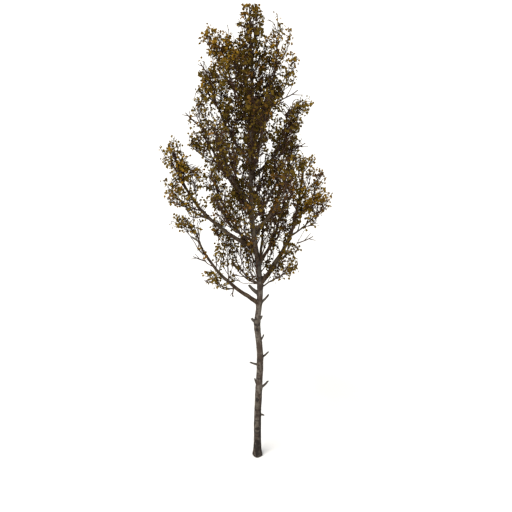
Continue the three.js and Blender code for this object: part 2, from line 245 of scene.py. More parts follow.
# Places where the sky shows through, as seen from the front: offset along X, height, half sizes.
GAPS = [
    (-1.87, 10.48, 0.28, 0.2),
    (-1.55, 9.5, 0.26, 0.15),
    (-0.95, 9.45, 0.07, 0.1),
    (-1.2, 11.9, 0.1, 0.1),
    (-1.36, 11.3, 0.13, 0.1),
    (-1.56, 8.02, 0.24, 0.38),
    (-2.3, 8.9, 0.2, 0.14),
    (0.1, 10.55, 0.1, 0.32),
    (1.42, 10.9, 0.2, 0.25),
    (0.31, 9.1, 0.12, 0.14),
    (0.33, 10.92, 0.1, 0.13),
    (0.33, 13.3, 0.07, 0.2),
    (1.07, 9.0, 0.12, 0.13),
    (1.24, 8.15, 0.17, 0.32),
    (0.98, 12.47, 0.26, 0.2),
    (-0.8, 14.75, 0.36, 0.45),
    (-0.62, 14.25, 0.11, 0.25),
    (0.33, 14.4, 0.13, 0.3),
    (-1.5, 13.33, 0.16, 0.13),
    (0.55, 7.45, 0.12, 0.26),
    (-2.15, 8.0, 0.2, 0.2),
]

# ---- What a user may change ----


def number(name, text, default, **more):
    """A number, with a least value, a unit or a subtype where it has one."""
    return FloatProperty(name=name, description=text, default=default, **more)


def length(name, text, default):
    """A length in metres."""
    return number(name, text, default, unit="LENGTH", min=0.0)


def whole(name, text, default, least=0):
    """A whole number, such as a seed."""
    return IntProperty(name=name, description=text, default=default, min=least)


def tint(name, text, default):
    """A colour."""
    look = {"size": 3, "min": 0.0, "max": 1.0, "subtype": "COLOR"}
    return FloatVectorProperty(name=name, description=text, default=default, **look)


class PoplarBarkSettings(bpy.types.PropertyGroup):
    """Sizes and colours of the stem's and boughs' bark."""

    ring_step: length("Ring Step", "Spacing of the bark's rings up the stem", 0.03)
    stem_sides: whole("Stem Sides", "Corners in each ring of the stem", 44, 8)
    furrows: length("Furrows", "Depth of the furrows at the foot of the stem", 0.006)
    waver: length("Waver", "How far the boughs stray from their smooth line", 0.035)
    pale: tint("Pale Bark", "Smooth young bark", (0.142, 0.121, 0.1))
    brown: tint("Brown Bark", "Weathered bark", (0.058, 0.041, 0.031))
    # this colour also gives the stem's painted shade, through the layer named scar
    dark: tint("Scars", "Scars, bands and cracks", (0.012, 0.009, 0.008))
    green: tint("Green Bark", "Tint of the algae in patches of the bark", (0.055, 0.048, 0.029))


class PoplarShootSettings(bpy.types.PropertyGroup):
    """How the shoots fill the masses of the crown."""

    seed: whole("Seed", "Another number grows another crown", 16)
    buds: number("Buds", "Growing points sought in each cubic metre of crown", 800.0, min=1.0)
    step: length("Step", "Growth of a shoot in one round", 0.065)
    sight: length("Sight", "How far off a shoot feels a growing point", 0.5)
    room: length("Room", "Room that each shoot's end keeps free", 0.13)
    rise: number("Rise", "How strongly shoots turn upward", 0.6)
    steady: number("Steady", "How strongly shoots keep their line", 1.1)
    tip: length("Tip Radius", "Usual radius of the thinnest twigs", 0.012)
    brown: tint("Twig Brown", "Lit side of a shoot", (0.068, 0.033, 0.02))
    red: tint("Twig Red", "Young reddish bark", (0.036, 0.015, 0.01))


class PoplarLeafSettings(bpy.types.PropertyGroup):
    """Size, spacing and colours of the leaves."""

    seed: whole("Seed", "Another number turns the leaves", 5)
    blade: length("Blade", "Length of a leaf's blade", 0.074)
    stalk: length("Stalk", "Length of a leaf's stalk", 0.055)
    spacing: length("Spacing", "Distance between leaves along a twig", 0.5)
    leafy: length("Leafy End", "Length of a shoot's end that bears leaves", 0.25)
    gold: tint("Gold", "Leaves at the outer and upper ends", (0.18, 0.1, 0.008))
    rust: tint("Rust", "Turned leaves", (0.13, 0.063, 0.009))
    olive: tint("Olive", "Leaves that are still green", (0.087, 0.055, 0.007))


class PoplarStageSettings(bpy.types.PropertyGroup):
    """Floor, lights and camera."""

    floor: tint("Floor", "Colour of the floor", (0.86, 0.86, 0.85))
    sky: number("Sky", "Strength of the even light", 0.72, min=0.0)
    key: number("Key", "Strength of the main light", 2.9, min=0.0)
    softness: number("Softness", "Width of the main light", math.radians(42), subtype="ANGLE")
    distance: length("Distance", "From the camera to the tree's middle", 22.5)
    elevation: number("Elevation", "How far the camera looks down", VIEW_DOWN, subtype="ANGLE")
    lens: number("Lens", "Focal length", 50.34, unit="CAMERA", min=1.0)


# ---- Numbers ----

# Directions that hardly any wood runs along, to set others square to it.
SIDE_ASIDE, SPUR_ASIDE = (0.2, 0.9, 0.35), (0.9, 0.3, 0.2)
LEAF_ASIDE, TUBE_ASIDE = (0.93, 0.21, 0.3), (0.31, 0.87, 0.38)
# Which luck a point has: two numbers mixed in with its own, and a seed.
KEPT_LUCK, TINT_LUCK, SHADE_LUCK = (0, 2, 6), (3, 7, 9), (5, 1, 4)


def direction(heading):
    """The level way of a heading."""
    angle = math.radians(heading)
    return np.array([math.cos(angle), math.sin(angle), 0.0])


def unit(vectors):
    """The vectors at a length of 1."""
    size = np.linalg.norm(vectors, axis=-1, keepdims=True)
    return vectors / np.maximum(size, 1e-9)


def squares(ways, aside):
    """Two directions square to each way. No way may run along aside."""
    across = unit(np.cross(ways, aside))
    return across, np.cross(ways, across)


def around(first, second, turn):
    """The first direction, turned by an angle toward the second."""
    return first * np.cos(turn) + second * np.sin(turn)


def between(level, start, end):
    """0 at the start, rising evenly to 1 at the end. The end may be the lower one."""
    return np.clip((level - start) / (end - start), 0, 1)


def scattered(cells, seed):
    """A number from 0 to 1 for each row of whole numbers, the same on every run.

    The large odd numbers only mix the rows' bits.
    """
    cells = cells.astype(np.int64)
    mixed = cells[..., 0] * 73856093 ^ cells[..., 1] * 19349663
    mixed = (mixed ^ cells[..., 2] * 83492791 ^ seed * 2654435761) & 0xFFFFFFFF
    mixed = ((mixed ^ (mixed >> 15)) * 2246822519) & 0xFFFFFFFF
    mixed = ((mixed ^ (mixed >> 13)) * 3266489917) & 0xFFFFFFFF
    return (mixed ^ (mixed >> 16)) / 0xFFFFFFFF


def luck_of(numbers, second, third, seed):
    """A number from 0 to 1 for each whole number, the same on every run."""
    cells = np.stack([numbers, numbers * 0 + second, numbers * 0 + third], axis=1)
    return scattered(cells, seed)


def mottle(points, seed=0, octaves=1):
    """Smooth noise from -1 to 1, with cells of one unit, at each of the points.

    Each octave has cells half as wide as the one before, set off from them, and counts for half.
    """
    total, weight = np.zeros(len(points)), 0.0
    for octave in range(octaves):
        scaled = points * 2.0**octave + 17.3 * octave
        cell = np.floor(scaled)
        inside = scaled - cell
        ease = inside * inside * (3 - 2 * inside)
        level = np.zeros(len(points))
        for corner in np.ndindex(2, 2, 2):
            share = np.prod(np.where(corner, ease, 1 - ease), axis=1)
            level += share * scattered(cell + corner, seed + octave)
        total += (2 * level - 1) * 0.5**octave
        weight += 0.5**octave
    return total / weight


def run_lengths(path):
    """Distance along a path to each of its points."""
    steps = np.linalg.norm(np.diff(path, axis=0), axis=1)
    return np.concatenate([[0.0], np.cumsum(steps)])


def resampled(path, step):
    """The same path with its points about step apart."""
    along = run_lengths(path)
    count = max(3, round(along[-1] / step) + 1)
    at = np.linspace(0, along[-1], count)
    return np.stack([np.interp(at, along, path[:, k]) for k in range(3)], axis=1)


# ---- Lines and girths of the stem and limbs ----

LINE_STEPS = 60  # points along a smooth line
WAVES = 2.3  # bends in a metre of a limb
FULL_WAVER = 0.5  # run after which a limb strays its full amount
BRANCH_SEED = 100
BRANCH_BARE = 0.1  # share of a branch that is without leaves


def catmull_rom(points):
    """A smooth line through the points."""
    ends = [2 * points[0] - points[1]], [2 * points[-1] - points[-2]]
    p = np.concatenate([ends[0], points, ends[1]])
    t = np.linspace(0, 1, LINE_STEPS, endpoint=False)[:, None]
    runs = []
    for a, b, c, d in zip(p, p[1:], p[2:], p[3:]):
        bend = (2 * a - 5 * b + 4 * c - d) * t**2 + (3 * b - a - 3 * c + d) * t**3
        runs.append(b + 0.5 * ((c - a) * t + bend))
    return np.concatenate(runs + [points[-1:]])


STEM_PATH = catmull_rom(np.array([(x, y, z) for z, x, y in STEM_LINE]))


def stem_point(height):
    """The stem's centre at each height."""
    axes = [np.interp(height, STEM_PATH[:, 2], STEM_PATH[:, k]) for k in range(3)]
    return np.stack(axes, axis=-1)


def stem_radius(height):
    """The stem's radius at each height, without its relief."""
    left = np.clip(1 - height / HEIGHT, 0, 1) ** STEM_TAPER
    taper = TIP_GIRTH + (STEM_GIRTH - TIP_GIRTH) * left
    knuckle = KNUCKLE_SWELL * np.exp(-(((height - KNUCKLE_HEIGHT) / KNUCKLE_LENGTH) ** 2))
    return (taper + knuckle + FLARE_GIRTH * np.exp(-height / FLARE_RISE)) / 2


def bent_line(start, heading, reach, climb, out, rise):
    """A limb's smooth line: away from the start, then up."""
    away = direction(heading)
    bend = start + away * reach * out + UP * climb * rise
    tip = start + away * reach + UP * climb
    t = np.linspace(0, 1, LINE_STEPS)[:, None]
    return (1 - t) ** 2 * start + 2 * t * (1 - t) * bend + t**2 * tip


def wavering(path, most, seed):
    """The path, straying from its smooth line more and more until it is half a metre out."""
    along = run_lengths(path)
    places = np.stack([along * WAVES, np.zeros(len(along)), np.zeros(len(along))], axis=1)
    strays = []
    for axis in range(3):
        noise = mottle(places + 31.7 * axis, seed * 3 + axis, octaves=2)
        strays.append(noise - noise[0])
    size = most * np.clip(along / FULL_WAVER, 0, 1)
    return path + np.stack(strays, axis=1) * size[:, None]


def tapered(path, girth, bare=0.0):
    """Radius along a limb, which thins slowly beyond its bare part, and fast toward its tip."""
    share = run_lengths(path)
    share = share / share[-1]
    beyond = np.clip(share - bare, 0, 1)
    radius = girth / 2 * (1 - LIMB_TAPER * (share - LEAFY_GAIN * beyond))
    return np.maximum(radius * (1 - TIP_FALL * (beyond / (1 - bare)) ** 3), THINNEST_LIMB)


# A limb bears leaves from leafy_from, as a share of its run.
Limb = namedtuple("Limb", "name path radius leafy_from")


def limb_path(start, row, seed):
    """A bough's or branch's line from its start."""
    line = bent_line(start, row.heading, row.reach, row.climb, row.out, row.rise)
    return wavering(line, bpy.context.scene.poplar_bark.waver, seed)


@lru_cache(maxsize=None)
def limbs():
    """Every bough and branch, the branches starting on their boughs."""
    boughs = {}
    for seed, row in enumerate(BOUGHS):
        path = limb_path(stem_point(row.height), row, seed)
        boughs[row.name] = Limb(row.name, path, tapered(path, row.girth, row.bare), row.bare)
    branches = []
    for seed, row in enumerate(BRANCHES):
        if row.bough == "stem":
            start = stem_point(row.share)
        else:
            bearer = boughs[row.bough].path
            start = bearer[round(row.share * (len(bearer) - 1))]
        path = limb_path(start, row, BRANCH_SEED + seed)
        name = f"{row.bough}_side_{seed}"
        branches.append(Limb(name, path, tapered(path, row.girth), BRANCH_BARE))
    return list(boughs.values()) + branches


# ---- The masses of leaves ----

MASS_MARGIN = 0.02  # how far outside its shell a mass still counts
OVERHANG = 0.05  # how far a shoot may stand out of the masses' own box
END_ROOM = 0.02  # the same for a side shoot's end
TOP_ROOM = 0.03  # how far a side shoot's end stays under the top, as seen from the front


def nodes_named(start):
    """The frame's nodes whose names start so, in order."""
    return [name for name in sorted(frame["nodes"]) if name.startswith(start)]


class Mass:
    """One of the frame's masses of leaves."""

    def __init__(self, name):
        mesh = frame["nodes"][name].data
        places = [tuple(v.co) for v in mesh.vertices]
        faces = [tuple(p.vertices) for p in mesh.polygons]
        self.name = name
        self.shell = bvhtree.BVHTree.FromPolygons(places, faces)
        self.low = np.min(places, axis=0) - MASS_MARGIN
        self.high = np.max(places, axis=0) + MASS_MARGIN

    def holds(self, point):
        """Whether a point is inside the mass."""
        if (point < self.low).any() or (point > self.high).any():
            return False
        spot, normal, _, gap = self.shell.find_nearest(Vector(point))
        return (Vector(point) - spot).dot(normal) < 0 or gap < MASS_MARGIN


@lru_cache(maxsize=None)
def masses():
    """All of the frame's masses of leaves."""
    return [Mass(name) for name in nodes_named("foliage_")]


def fullness(name):
    """How full a mass is, by its own name or its bough's."""
    return FULLNESS.get(name.removeprefix("foliage_"), 1.0)


def in_fill(point):
    """Whether a point is in one of the fills."""
    fills = np.array(FILLS)
    return (((point - fills[:, :3]) / fills[:, 3:]) ** 2).sum(axis=1).min() < 1


def in_gap(point):
    """Whether a point is in front of or behind one of the gaps, as seen from the front."""
    x, z, half_width, half_height = np.array(GAPS).T
    above = point[2] + FRONT_VIEW * point[1] - z
    return (((point[0] - x) / half_width) ** 2 + (above / half_height) ** 2).min() < 1


def in_leaf(point):
    """Whether a point is among the leaves."""
    return in_fill(point) or any(mass.holds(point) for mass in masses())


def out_of_box(point, room=END_ROOM):
    """Whether a point is more than the room outside the masses' box, or seen over the top."""
    low, high = np.array(cad_low) - room, np.array(cad_high) + room
    too_high = point[2] + FRONT_VIEW * point[1] > HEIGHT - TOP_ROOM
    return too_high or (point < low).any() or (point > high).any()


def within_reach(places):
    """The places, with those too far out of the masses' box moved back to it."""
    return np.clip(places, np.array(cad_low) - OVERHANG, np.array(cad_high) + OVERHANG)


def growing_points(random, density):
    """Seeded points in the masses and fills, as many a cubic metre, with the gaps left open."""
    chosen = []
    for mass in masses():
        size = np.prod(mass.high - mass.low)
        count = int(size * density * fullness(mass.name))
        points = random.uniform(mass.low, mass.high, (count, 3))
        chosen += [point for point in points if mass.holds(point)]
    for row in np.array(FILLS):
        count = int(np.prod(2 * row[3:]) * density)
        points = row[:3] + random.uniform(-1, 1, (count, 3)) * row[3:]
        chosen += [point for point in points if in_fill(point)]
    return np.array([point for point in chosen if not in_gap(point)])


# ---- Growing the shoots ----

STEM, LIMB, SHOOT = range(3)  # kinds of wood
NODE_STEP = 0.08  # spacing of the wood's points along the stem and limbs
LOWEST_SHOOTS = 5.6  # height under which the stem is bare
STEM_SHOOTS_FROM = 0.3  # share of the crown's stem that is without side shoots of its own
STEM_BUDS_FROM, STEM_BUD_EVERY = 10.5, 3  # height, and points of the stem to each bud
LIMB_BUD_EVERY = 4
END_SHOOTS = 2  # how many shoots the end of a limb or side shoot can bear
EARLY_SHOOTS = 0.12  # share of its run by which a limb's shoots start before its leaves
ROUNDS = 60  # most rounds of growth
MOST_STEPS = 4  # how many steps long a shoot of the rounds can be, from a limb or side shoot
FORKS = 0.45  # share of the shoots' new ends that may fork
SIBLING_COSINE = math.cos(math.radians(28))  # of the least angle between steps from one point
NEAR_ROOM = 0.6  # share of the room that growing points need beside wood that is already there
LEADER_X, LEADER_WIDTH, LEADER_DEPTH = -0.2, 0.6, 0.8
LEADER_FROM, LEADER_FULL = 10.5, 12.0  # heights between which the shoots round it draw closer
LEADER_CLOSER = 0.12  # share by which they stand closer
LIMB_STEADY = 0.35  # how strongly a shoot that leaves a limb keeps the limb's line
WOBBLE = 0.05  # how much luck turns each step
LOWEST_SPURS = 6.6
SPURS = 0.06  # share of the shoots' points that bear a spur
LIMB_SPURS = 0.5  # the same for the limbs' points among the leaves
SPUR_LENGTHS, SPUR_LEAN, SPUR_RISE = (0.05, 0.13), (0.4, 1.4), 0.3
GOLDEN_TURN = math.radians(137.5)

# Side shoots leave a line every so far at a spread in degrees. The longest of them are shortened by a
# share toward the line's end. They rise a share at each step, and are thinner than a share of the
# line's radius. thick is the radius that a metre of length adds to the tip's.
SideRule = namedtuple("SideRule", "every spread longest shorten rise step share thick tip")
FIRST_ORDER = SideRule(0.16, 40, 1.5, 0.45, 0.16, 0.07, 0.7, 0.016, 0.013)
SECOND_ORDER = SideRule(0.165, 40, 0.6, 0.4, 0.14, 0.065, 0.8, 0.012, 0.011)
BARE_SHARE = 0.3  # share of a side shoot that is bare
SHORTEST = 4  # points of the shortest side shoot
BARE_STEPS = (3, 6)  # spare steps outside the leaves for one that starts there, from and under
LAST_SIDE = 0.97  # share of a line beyond which nothing leaves it
DRIFT, SIDE_WOBBLE = 0.05, 0.06  # turn of its heading at each step: always the same, and by luck
# Ranges of luck, as shares of the rule's numbers.
FIRST_LUCK, GAP_LUCK, SPREAD_LUCK, LENGTH_LUCK = (0.2, 0.8), (0.7, 1.3), (0.75, 1.25), (0.45, 1.0)


class Wood:
    """The crown's wood as joined points, each with its parent's number."""

    def __init__(self, most=120_000):
        self.place = np.zeros((most, 3))
        self.heading = np.zeros((most, 3))
        self.parent = np.full(most, -1)
        self.kind = np.zeros(most, int)
        self.given = np.zeros(most)  # the radius of a stem, limb or side shoot, or 0
        self.bearing = np.zeros(most, int)  # how many shoots it can still bear
        self.steps = np.zeros(most, int)  # rounds of growth since it left a limb or side shoot
        self.count = 0

    def add(self, places, parents, kind, given=0.0, bearing=0):
        """New points, each growing from its parent. Gives back their numbers."""
        new = slice(self.count, self.count + len(places))
        self.place[new] = places
        self.parent[new] = parents
        origin = self.place[self.parent[new]]
        self.heading[new] = unit(self.place[new] - origin)
        self.kind[new] = kind
        self.given[new] = given
        self.bearing[new] = bearing
        self.steps[new] = np.where(self.given[new] > 0, 0, self.steps[self.parent[new]] + 1)
        self.bearing[new] *= self.steps[new] < MOST_STEPS
        self.count = new.stop
        return np.arange(new.start, new.stop)

    def add_line(self, path, radius, parent, kind, bearing):
        """A run of points, each the parent of the next."""
        first = self.count
        parents = np.arange(first - 1, first - 1 + len(path))
        parents[0] = parent
        added = self.add(path, parents, kind, radius, bearing)
        self.heading[added[0]] = unit(path[1] - path[0])
        return added


# A line of wood that bears side shoots, from a share of its run on. A gap over 1 thins them out.
Bearer = namedtuple("Bearer", "path radius numbers share_from gap")


def nearest(points, targets):
    """For each target, the number of the nearest point and the distance to it."""
    tree = kdtree.KDTree(len(points))
    for i, point in enumerate(points):
        tree.insert(point, i)
    tree.balance()
    found = [tree.find(target)[1:] for target in targets]
    numbers, gaps = zip(*found)
    return np.array(numbers), np.array(gaps)


def add_stem(wood):
    """Puts the crown's stem into the wood."""
    path = stem_point(np.arange(LOWEST_SHOOTS, HEIGHT, NODE_STEP))
    radius = stem_radius(path[:, 2])
    budding = (path[:, 2] > STEM_BUDS_FROM) & (np.arange(len(path)) % STEM_BUD_EVERY == 0)
    own = wood.add_line(path, radius, 0, STEM, np.where(budding, 1, 0))
    wood.parent[0] = -1
    return Bearer(path, radius, own, STEM_SHOOTS_FROM, 1.0)


def add_limb(wood, limb):
    """Puts a limb into the wood, joined to the nearest point that is there."""
    path = resampled(limb.path, NODE_STEP)
    share = np.linspace(0, 1, len(path))
    radius = np.interp(share, np.linspace(0, 1, len(limb.radius)), limb.radius)
    share_from = limb.leafy_from - EARLY_SHOOTS
    bears = np.where((share > share_from) & (np.arange(len(path)) % LIMB_BUD_EVERY == 0), 1, 0)
    bears[-1] = END_SHOOTS
    number, _ = nearest(wood.place[: wood.count], path[:1])
    own = wood.add_line(path, radius, number[0], LIMB, bears)
    return Bearer(path, radius, own, max(0.0, share_from), 1 / min(fullness(limb.name), 1.0))


def side_shoot(start, heading, longest, rule, random):
    """One side shoot's line, which turns upward and ends where its leaves end."""
    free = 0 if in_leaf(start) else int(random.integers(*BARE_STEPS))
    line = [start]
    drift = random.normal(0, DRIFT, 3)
    while run_lengths(np.array(line))[-1] < longest:
        heading = unit(heading + UP * rule.rise + drift + random.normal(0, SIDE_WOBBLE, 3))
        line.append(line[-1] + heading * rule.step)
        past = len(line) > 2 + free and not in_leaf(line[-1])
        if past or out_of_box(line[-1]) or (len(line) >= SHORTEST and in_gap(line[-1])):
            line.pop()
            break
    return np.array(line)


def side_shoots(bearer, rule, random):
    """The lines and radii of the shoots that leave a line by turns."""
    along = run_lengths(bearer.path)
    whole = along[-1]
    ways = unit(np.gradient(bearer.path, axis=0))
    at = whole * bearer.share_from + rule.every * random.uniform(*FIRST_LUCK)
    turn = random.uniform(0, 2 * math.pi)
    made = []
    while at < whole * LAST_SIDE:
        i = int(np.searchsorted(along, at))
        share = at / whole
        out = around(*squares(ways[i], SIDE_ASIDE), turn)
        spread = math.radians(rule.spread) * random.uniform(*SPREAD_LUCK)
        heading = unit(around(ways[i], out, spread))
        longest = rule.longest * random.uniform(*LENGTH_LUCK) * (1 - rule.shorten * share)
        line = side_shoot(bearer.path[i], heading, longest, rule, random)
        if len(line) >= SHORTEST:
            thick = rule.thick * run_lengths(line)[-1] + rule.tip
            thick = min(rule.share * bearer.radius[i], thick)
            made.append((line, np.linspace(thick, rule.tip, len(line))))
        at += rule.every * bearer.gap * random.uniform(*GAP_LUCK)
        turn += GOLDEN_TURN
    return made


def add_sides(wood, bearers, rule, random):
    """Puts each bearer's side shoots into the wood, and gives them back as bearers."""
    added = []
    for bearer in bearers:
        for line, thick in side_shoots(bearer, rule, random):
            parent = bearer.numbers[nearest(bearer.path, line[:1])[0][0]]
            bears = np.where(np.arange(len(line)) > BARE_SHARE * len(line), 1, 0)
            bears[-1] = END_SHOOTS
            own = wood.add_line(line[1:], thick[1:], parent, SHOOT, bears[1:])
            added.append(Bearer(line[1:], thick[1:], own, BARE_SHARE, bearer.gap**0.5))
    return added


def near_wood(points, places, room):
    """Whether each growing point is too near the wood. Shoots stand closer round the leader."""
    _, gaps = nearest(places, points)
    off = ((points[:, 0] - LEADER_X) / LEADER_WIDTH) ** 2 + (points[:, 1] / LEADER_DEPTH) ** 2
    core = np.exp(-off) * between(points[:, 2], LEADER_FROM, LEADER_FULL)
    return gaps < room * (1 - LEADER_CLOSER * core)


def new_ways(wood, growing, way):
    """Whether each point's next step differs from those it has already taken."""
    children = {}
    for child in range(wood.count):
        children.setdefault(wood.parent[child], []).append(child)
    fresh = [
        all(ahead @ wood.heading[child] <= SIBLING_COSINE for child in children.get(parent, ()))
        for parent, ahead in zip(growing, way)
    ]
    return np.array(fresh, bool)


def grow_once(wood, points, settings, random):
    """One round: each open point of the wood grows a step toward what is nearest to it."""
    open_ones = np.flatnonzero(wood.bearing[: wood.count] > 0)
    if not len(open_ones):
        return 0, points
    number, gap = nearest(wood.place[open_ones], points)
    seen = gap < settings.sight
    if not seen.any():
        return 0, points
    owner = open_ones[number[seen]]
    pulls = unit(points[seen] - wood.place[owner])
    growing, index = np.unique(owner, return_inverse=True)
    pull = np.zeros((len(growing), 3))
    np.add.at(pull, index, pulls)
    pull = unit(pull + random.normal(0, WOBBLE, pull.shape))
    on_limb = (wood.kind[growing] != SHOOT)[:, None]
    steady = np.where(on_limb, LIMB_STEADY, settings.steady)
    way = unit(pull + steady * wood.heading[growing] + settings.rise * UP)
    places = within_reach(wood.place[growing] + way * settings.step)
    fresh = new_ways(wood, growing, way)
    wood.bearing[growing[~fresh]] = 0
    wood.bearing[growing[fresh]] -= 1
    bearing = np.where(random.random(fresh.sum()) < FORKS, 2, 1)
    added = wood.add(places[fresh], growing[fresh], SHOOT, 0.0, bearing)
    if len(added):
        points = points[~near_wood(points, wood.place[added], settings.room)]
    return len(growing), points


def add_spurs(wood, random):
    """Short spurs that stand off the shoots and limbs, each to bear a tuft of leaves."""
    count = wood.count
    often = np.where(wood.kind[:count] == SHOOT, SPURS, 0.0)
    leafy = [p[2] > LOWEST_SPURS and in_leaf(p) for p in wood.place[:count]]
    often = np.where((wood.kind[:count] == LIMB) & leafy, LIMB_SPURS, often)
    numbers = np.flatnonzero(random.random(count) < often)
    turn = random.uniform(0, 2 * math.pi, len(numbers))[:, None]
    way = wood.heading[numbers]
    out = around(*squares(way, SPUR_ASIDE), turn)
    lean = unit(out + way * random.uniform(*SPUR_LEAN, turn.shape) + UP * SPUR_RISE)
    reach = random.uniform(*SPUR_LENGTHS, turn.shape)
    wood.add(within_reach(wood.place[numbers] + lean * reach), numbers, SHOOT)


@lru_cache(maxsize=None)
def crown():
    """The stem, limbs and shoots: shoots grow from the limbs toward free growing points."""
    settings = bpy.context.scene.poplar_shoots
    random = np.random.default_rng(settings.seed)
    wood = Wood()
    bearers = [add_stem(wood)]
    for limb in limbs():
        bearers.append(add_limb(wood, limb))
    first = add_sides(wood, bearers, FIRST_ORDER, random)
    add_sides(wood, first, SECOND_ORDER, random)
    points = growing_points(random, settings.buds)
    points = points[~near_wood(points, wood.place[: wood.count], settings.room * NEAR_ROOM)]
    for _ in range(ROUNDS):
        grown, points = grow_once(wood, points, settings, random)
        if not grown or not len(points):
            break
    add_spurs(wood, random)
    return wood


# ---- The shoots' thickness ----

PIPE = 2.3  # a shoot's radius to this power is the sum of its ends' radii to the same power
SIDE_THIN = 0.8  # most of its bearer's radius that a side shoot has
TIP_THIN = 0.8  # least of the tips' usual radius that any point has

# Each point's main child, radius, distance to its nearest end, and ends borne.
Shape = namedtuple("Shape", "main radius ahead tips")


@lru_cache(maxsize=None)
def crown_shape():
    """The shape of the crown's wood, worked out from its ends inward."""
    wood = crown()
    n = wood.count
    tip = bpy.context.scene.poplar_shoots.tip
    children = [[] for _ in range(n)]
    for i in range(1, n):
        children[wood.parent[i]].append(i)
    main = np.full(n, -1)
    ahead, tips, flow = np.zeros(n), np.ones(n), np.full(n, tip**PIPE)
    for i in range(n - 1, -1, -1):
        own = children[i]
        if not own:
            continue
        tips[i] = sum(tips[c] for c in own)
        flow[i] = sum(flow[c] for c in own)
        gaps = [ahead[c] + np.linalg.norm(wood.place[c] - wood.place[i]) for c in own]
        ahead[i] = min(gaps)
        if own[0] == i + 1 and wood.given[i] > 0 and wood.given[i + 1] > 0:
            main[i] = i + 1
        else:
            main[i] = max(own, key=lambda c: tips[c])
    given = wood.given[:n]
    radius = np.where(given > 0, given, flow ** (1 / PIPE))
    # a shoot is never thicker than what bears it
    for i in range(1, n):
        if wood.kind[i] == SHOOT:
            p = wood.parent[i]
            most = radius[p] if main[p] == i else SIDE_THIN * radius[p]
            radius[i] = min(radius[i], most)
    return Shape(main, np.maximum(radius, tip * TIP_THIN), ahead, tips)


# ---- Meshes ----


def make_piece(name, places, faces, materials, picks=None, smooth=True):
    """A mesh object that rides on the tree."""
    mesh = bpy.data.meshes.new(name)
    faces = np.asarray(faces, np.int32)
    mesh.vertices.add(len(places))
    mesh.vertices.foreach_set("co", np.asarray(places, np.float32).ravel())
    mesh.loops.add(faces.size)
    mesh.loops.foreach_set("vertex_index", faces.ravel())
    mesh.polygons.add(len(faces))
    starts = np.arange(0, faces.size, faces.shape[1], dtype=np.int32)
    mesh.polygons.foreach_set("loop_start", starts)
    for material in materials:
        mesh.materials.append(material)
    if picks is not None:
        mesh.polygons.foreach_set("material_index", np.asarray(picks, np.int32))
    mesh.polygons.foreach_set("use_smooth", np.full(len(faces), smooth))
    mesh.update(calc_edges=True)
    mesh.validate()
    piece = bpy.data.objects.new(name, mesh)
    bpy.context.scene.collection.objects.link(piece)
    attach(piece, "root")
    return piece


def ring_faces(rings, sides):
    """Triangles between rings of points that follow each other."""
    ring, side = np.meshgrid(np.arange(rings - 1), np.arange(sides), indexing="ij")
    a = ring * sides + side
    b = ring * sides + (side + 1) % sides
    quads = np.stack([a, b, b + sides, a + sides], axis=-1).reshape(-1, 4)
    return np.concatenate([quads[:, [0, 1, 2]], quads[:, [0, 2, 3]]])


def fan_faces(ring_start, sides, pole, outward):
    """Triangles from a ring of points to the pole that closes it."""
    side = np.arange(sides)
    a, b = ring_start + side, ring_start + (side + 1) % sides
    poles = np.full(sides, pole)
    return np.stack([poles, a, b] if outward else [poles, b, a], axis=1)


def ring_angles(sides):
    """The angles of a ring's corners."""
    return np.arange(sides) * 2 * math.pi / sides


def spokes(first, second, sides):
    """From each ring's middle, the directions to its corners."""
    return around(first[:, None, :], second[:, None, :], ring_angles(sides)[None, :, None])


def carried_frames(path):
    """Two directions square to the path at each point, turned as little as can be."""
    ways = unit(np.gradient(path, axis=0))
    first = np.zeros_like(path)
    first[0], _ = squares(ways[0], TUBE_ASIDE)
    for i in range(1, len(path)):
        first[i] = unit(first[i - 1] - ways[i] * (first[i - 1] @ ways[i]))
    return first, np.cross(ways, first)


def closed_tube(path, radii, sides, relief=None, frames=None):
    """Rings along a path, closed at both ends. relief(places, angles) moves the rings outward.

    Gives back places, faces, and a darkness for each place.
    """
    first, second = frames or carried_frames(path)
    out = spokes(first, second, sides)
    size = np.broadcast_to(np.asarray(radii)[:, None], out.shape[:2]).copy()
    dark = np.zeros(size.shape)
    if relief is not None:
        rise, dark = relief(path[:, None, :] + out * size[..., None], ring_angles(sides))
        size = size + rise
    places = (path[:, None, :] + out * size[..., None]).reshape(-1, 3)
    places = np.concatenate([places, path[:1], path[-1:]])
    start = fan_faces(0, sides, len(places) - 2, False)
    end = fan_faces((len(path) - 1) * sides, sides, len(places) - 1, True)
    faces = np.concatenate([ring_faces(len(path), sides), start, end])
    return places, faces, np.concatenate([dark.ravel(), dark[0, :1], dark[-1, :1]])


class Parts:
    """Places, faces and a darkness for each place, gathered from many tubes."""

    def __init__(self):
        self.places, self.faces, self.dark, self.count = [], [], [], 0

    def add(self, places, faces, dark):
        """One more tube."""
        self.places.append(places)
        self.faces.append(faces + self.count)
        self.dark.append(dark)
        self.count += len(places)

    def piece(self, name, material):
        """All the tubes as one piece, which its material darkens by the layer named scar."""
        places, faces = np.concatenate(self.places), np.concatenate(self.faces)
        piece = make_piece(name, places, faces, [material])
        # on the stem this layer also carries painted shade: the foot's side away from the key light,
        # and where the crown is over it
        layer = piece.data.attributes.new("scar", "FLOAT", "POINT")
        layer.data.foreach_set("value", np.concatenate(self.dark).astype(np.float32))
        return piece


# ---- Bark ----

FOOT_CURL, CURL_RISE = 0.12, 0.035  # share of its radius that the very foot draws in, and its fade
FOOT_FADE = 1.3  # height over which the foot's rough bark turns smooth
# The stem's stretches: from, to, and how far apart its rings are there, as a share of the step.
STRETCHES = ((0.0, 2.4, 0.66), (2.4, 7.0, 1.0), (7.0, HEIGHT - 0.02, 1.8))
TOP_RING = HEIGHT - 0.015
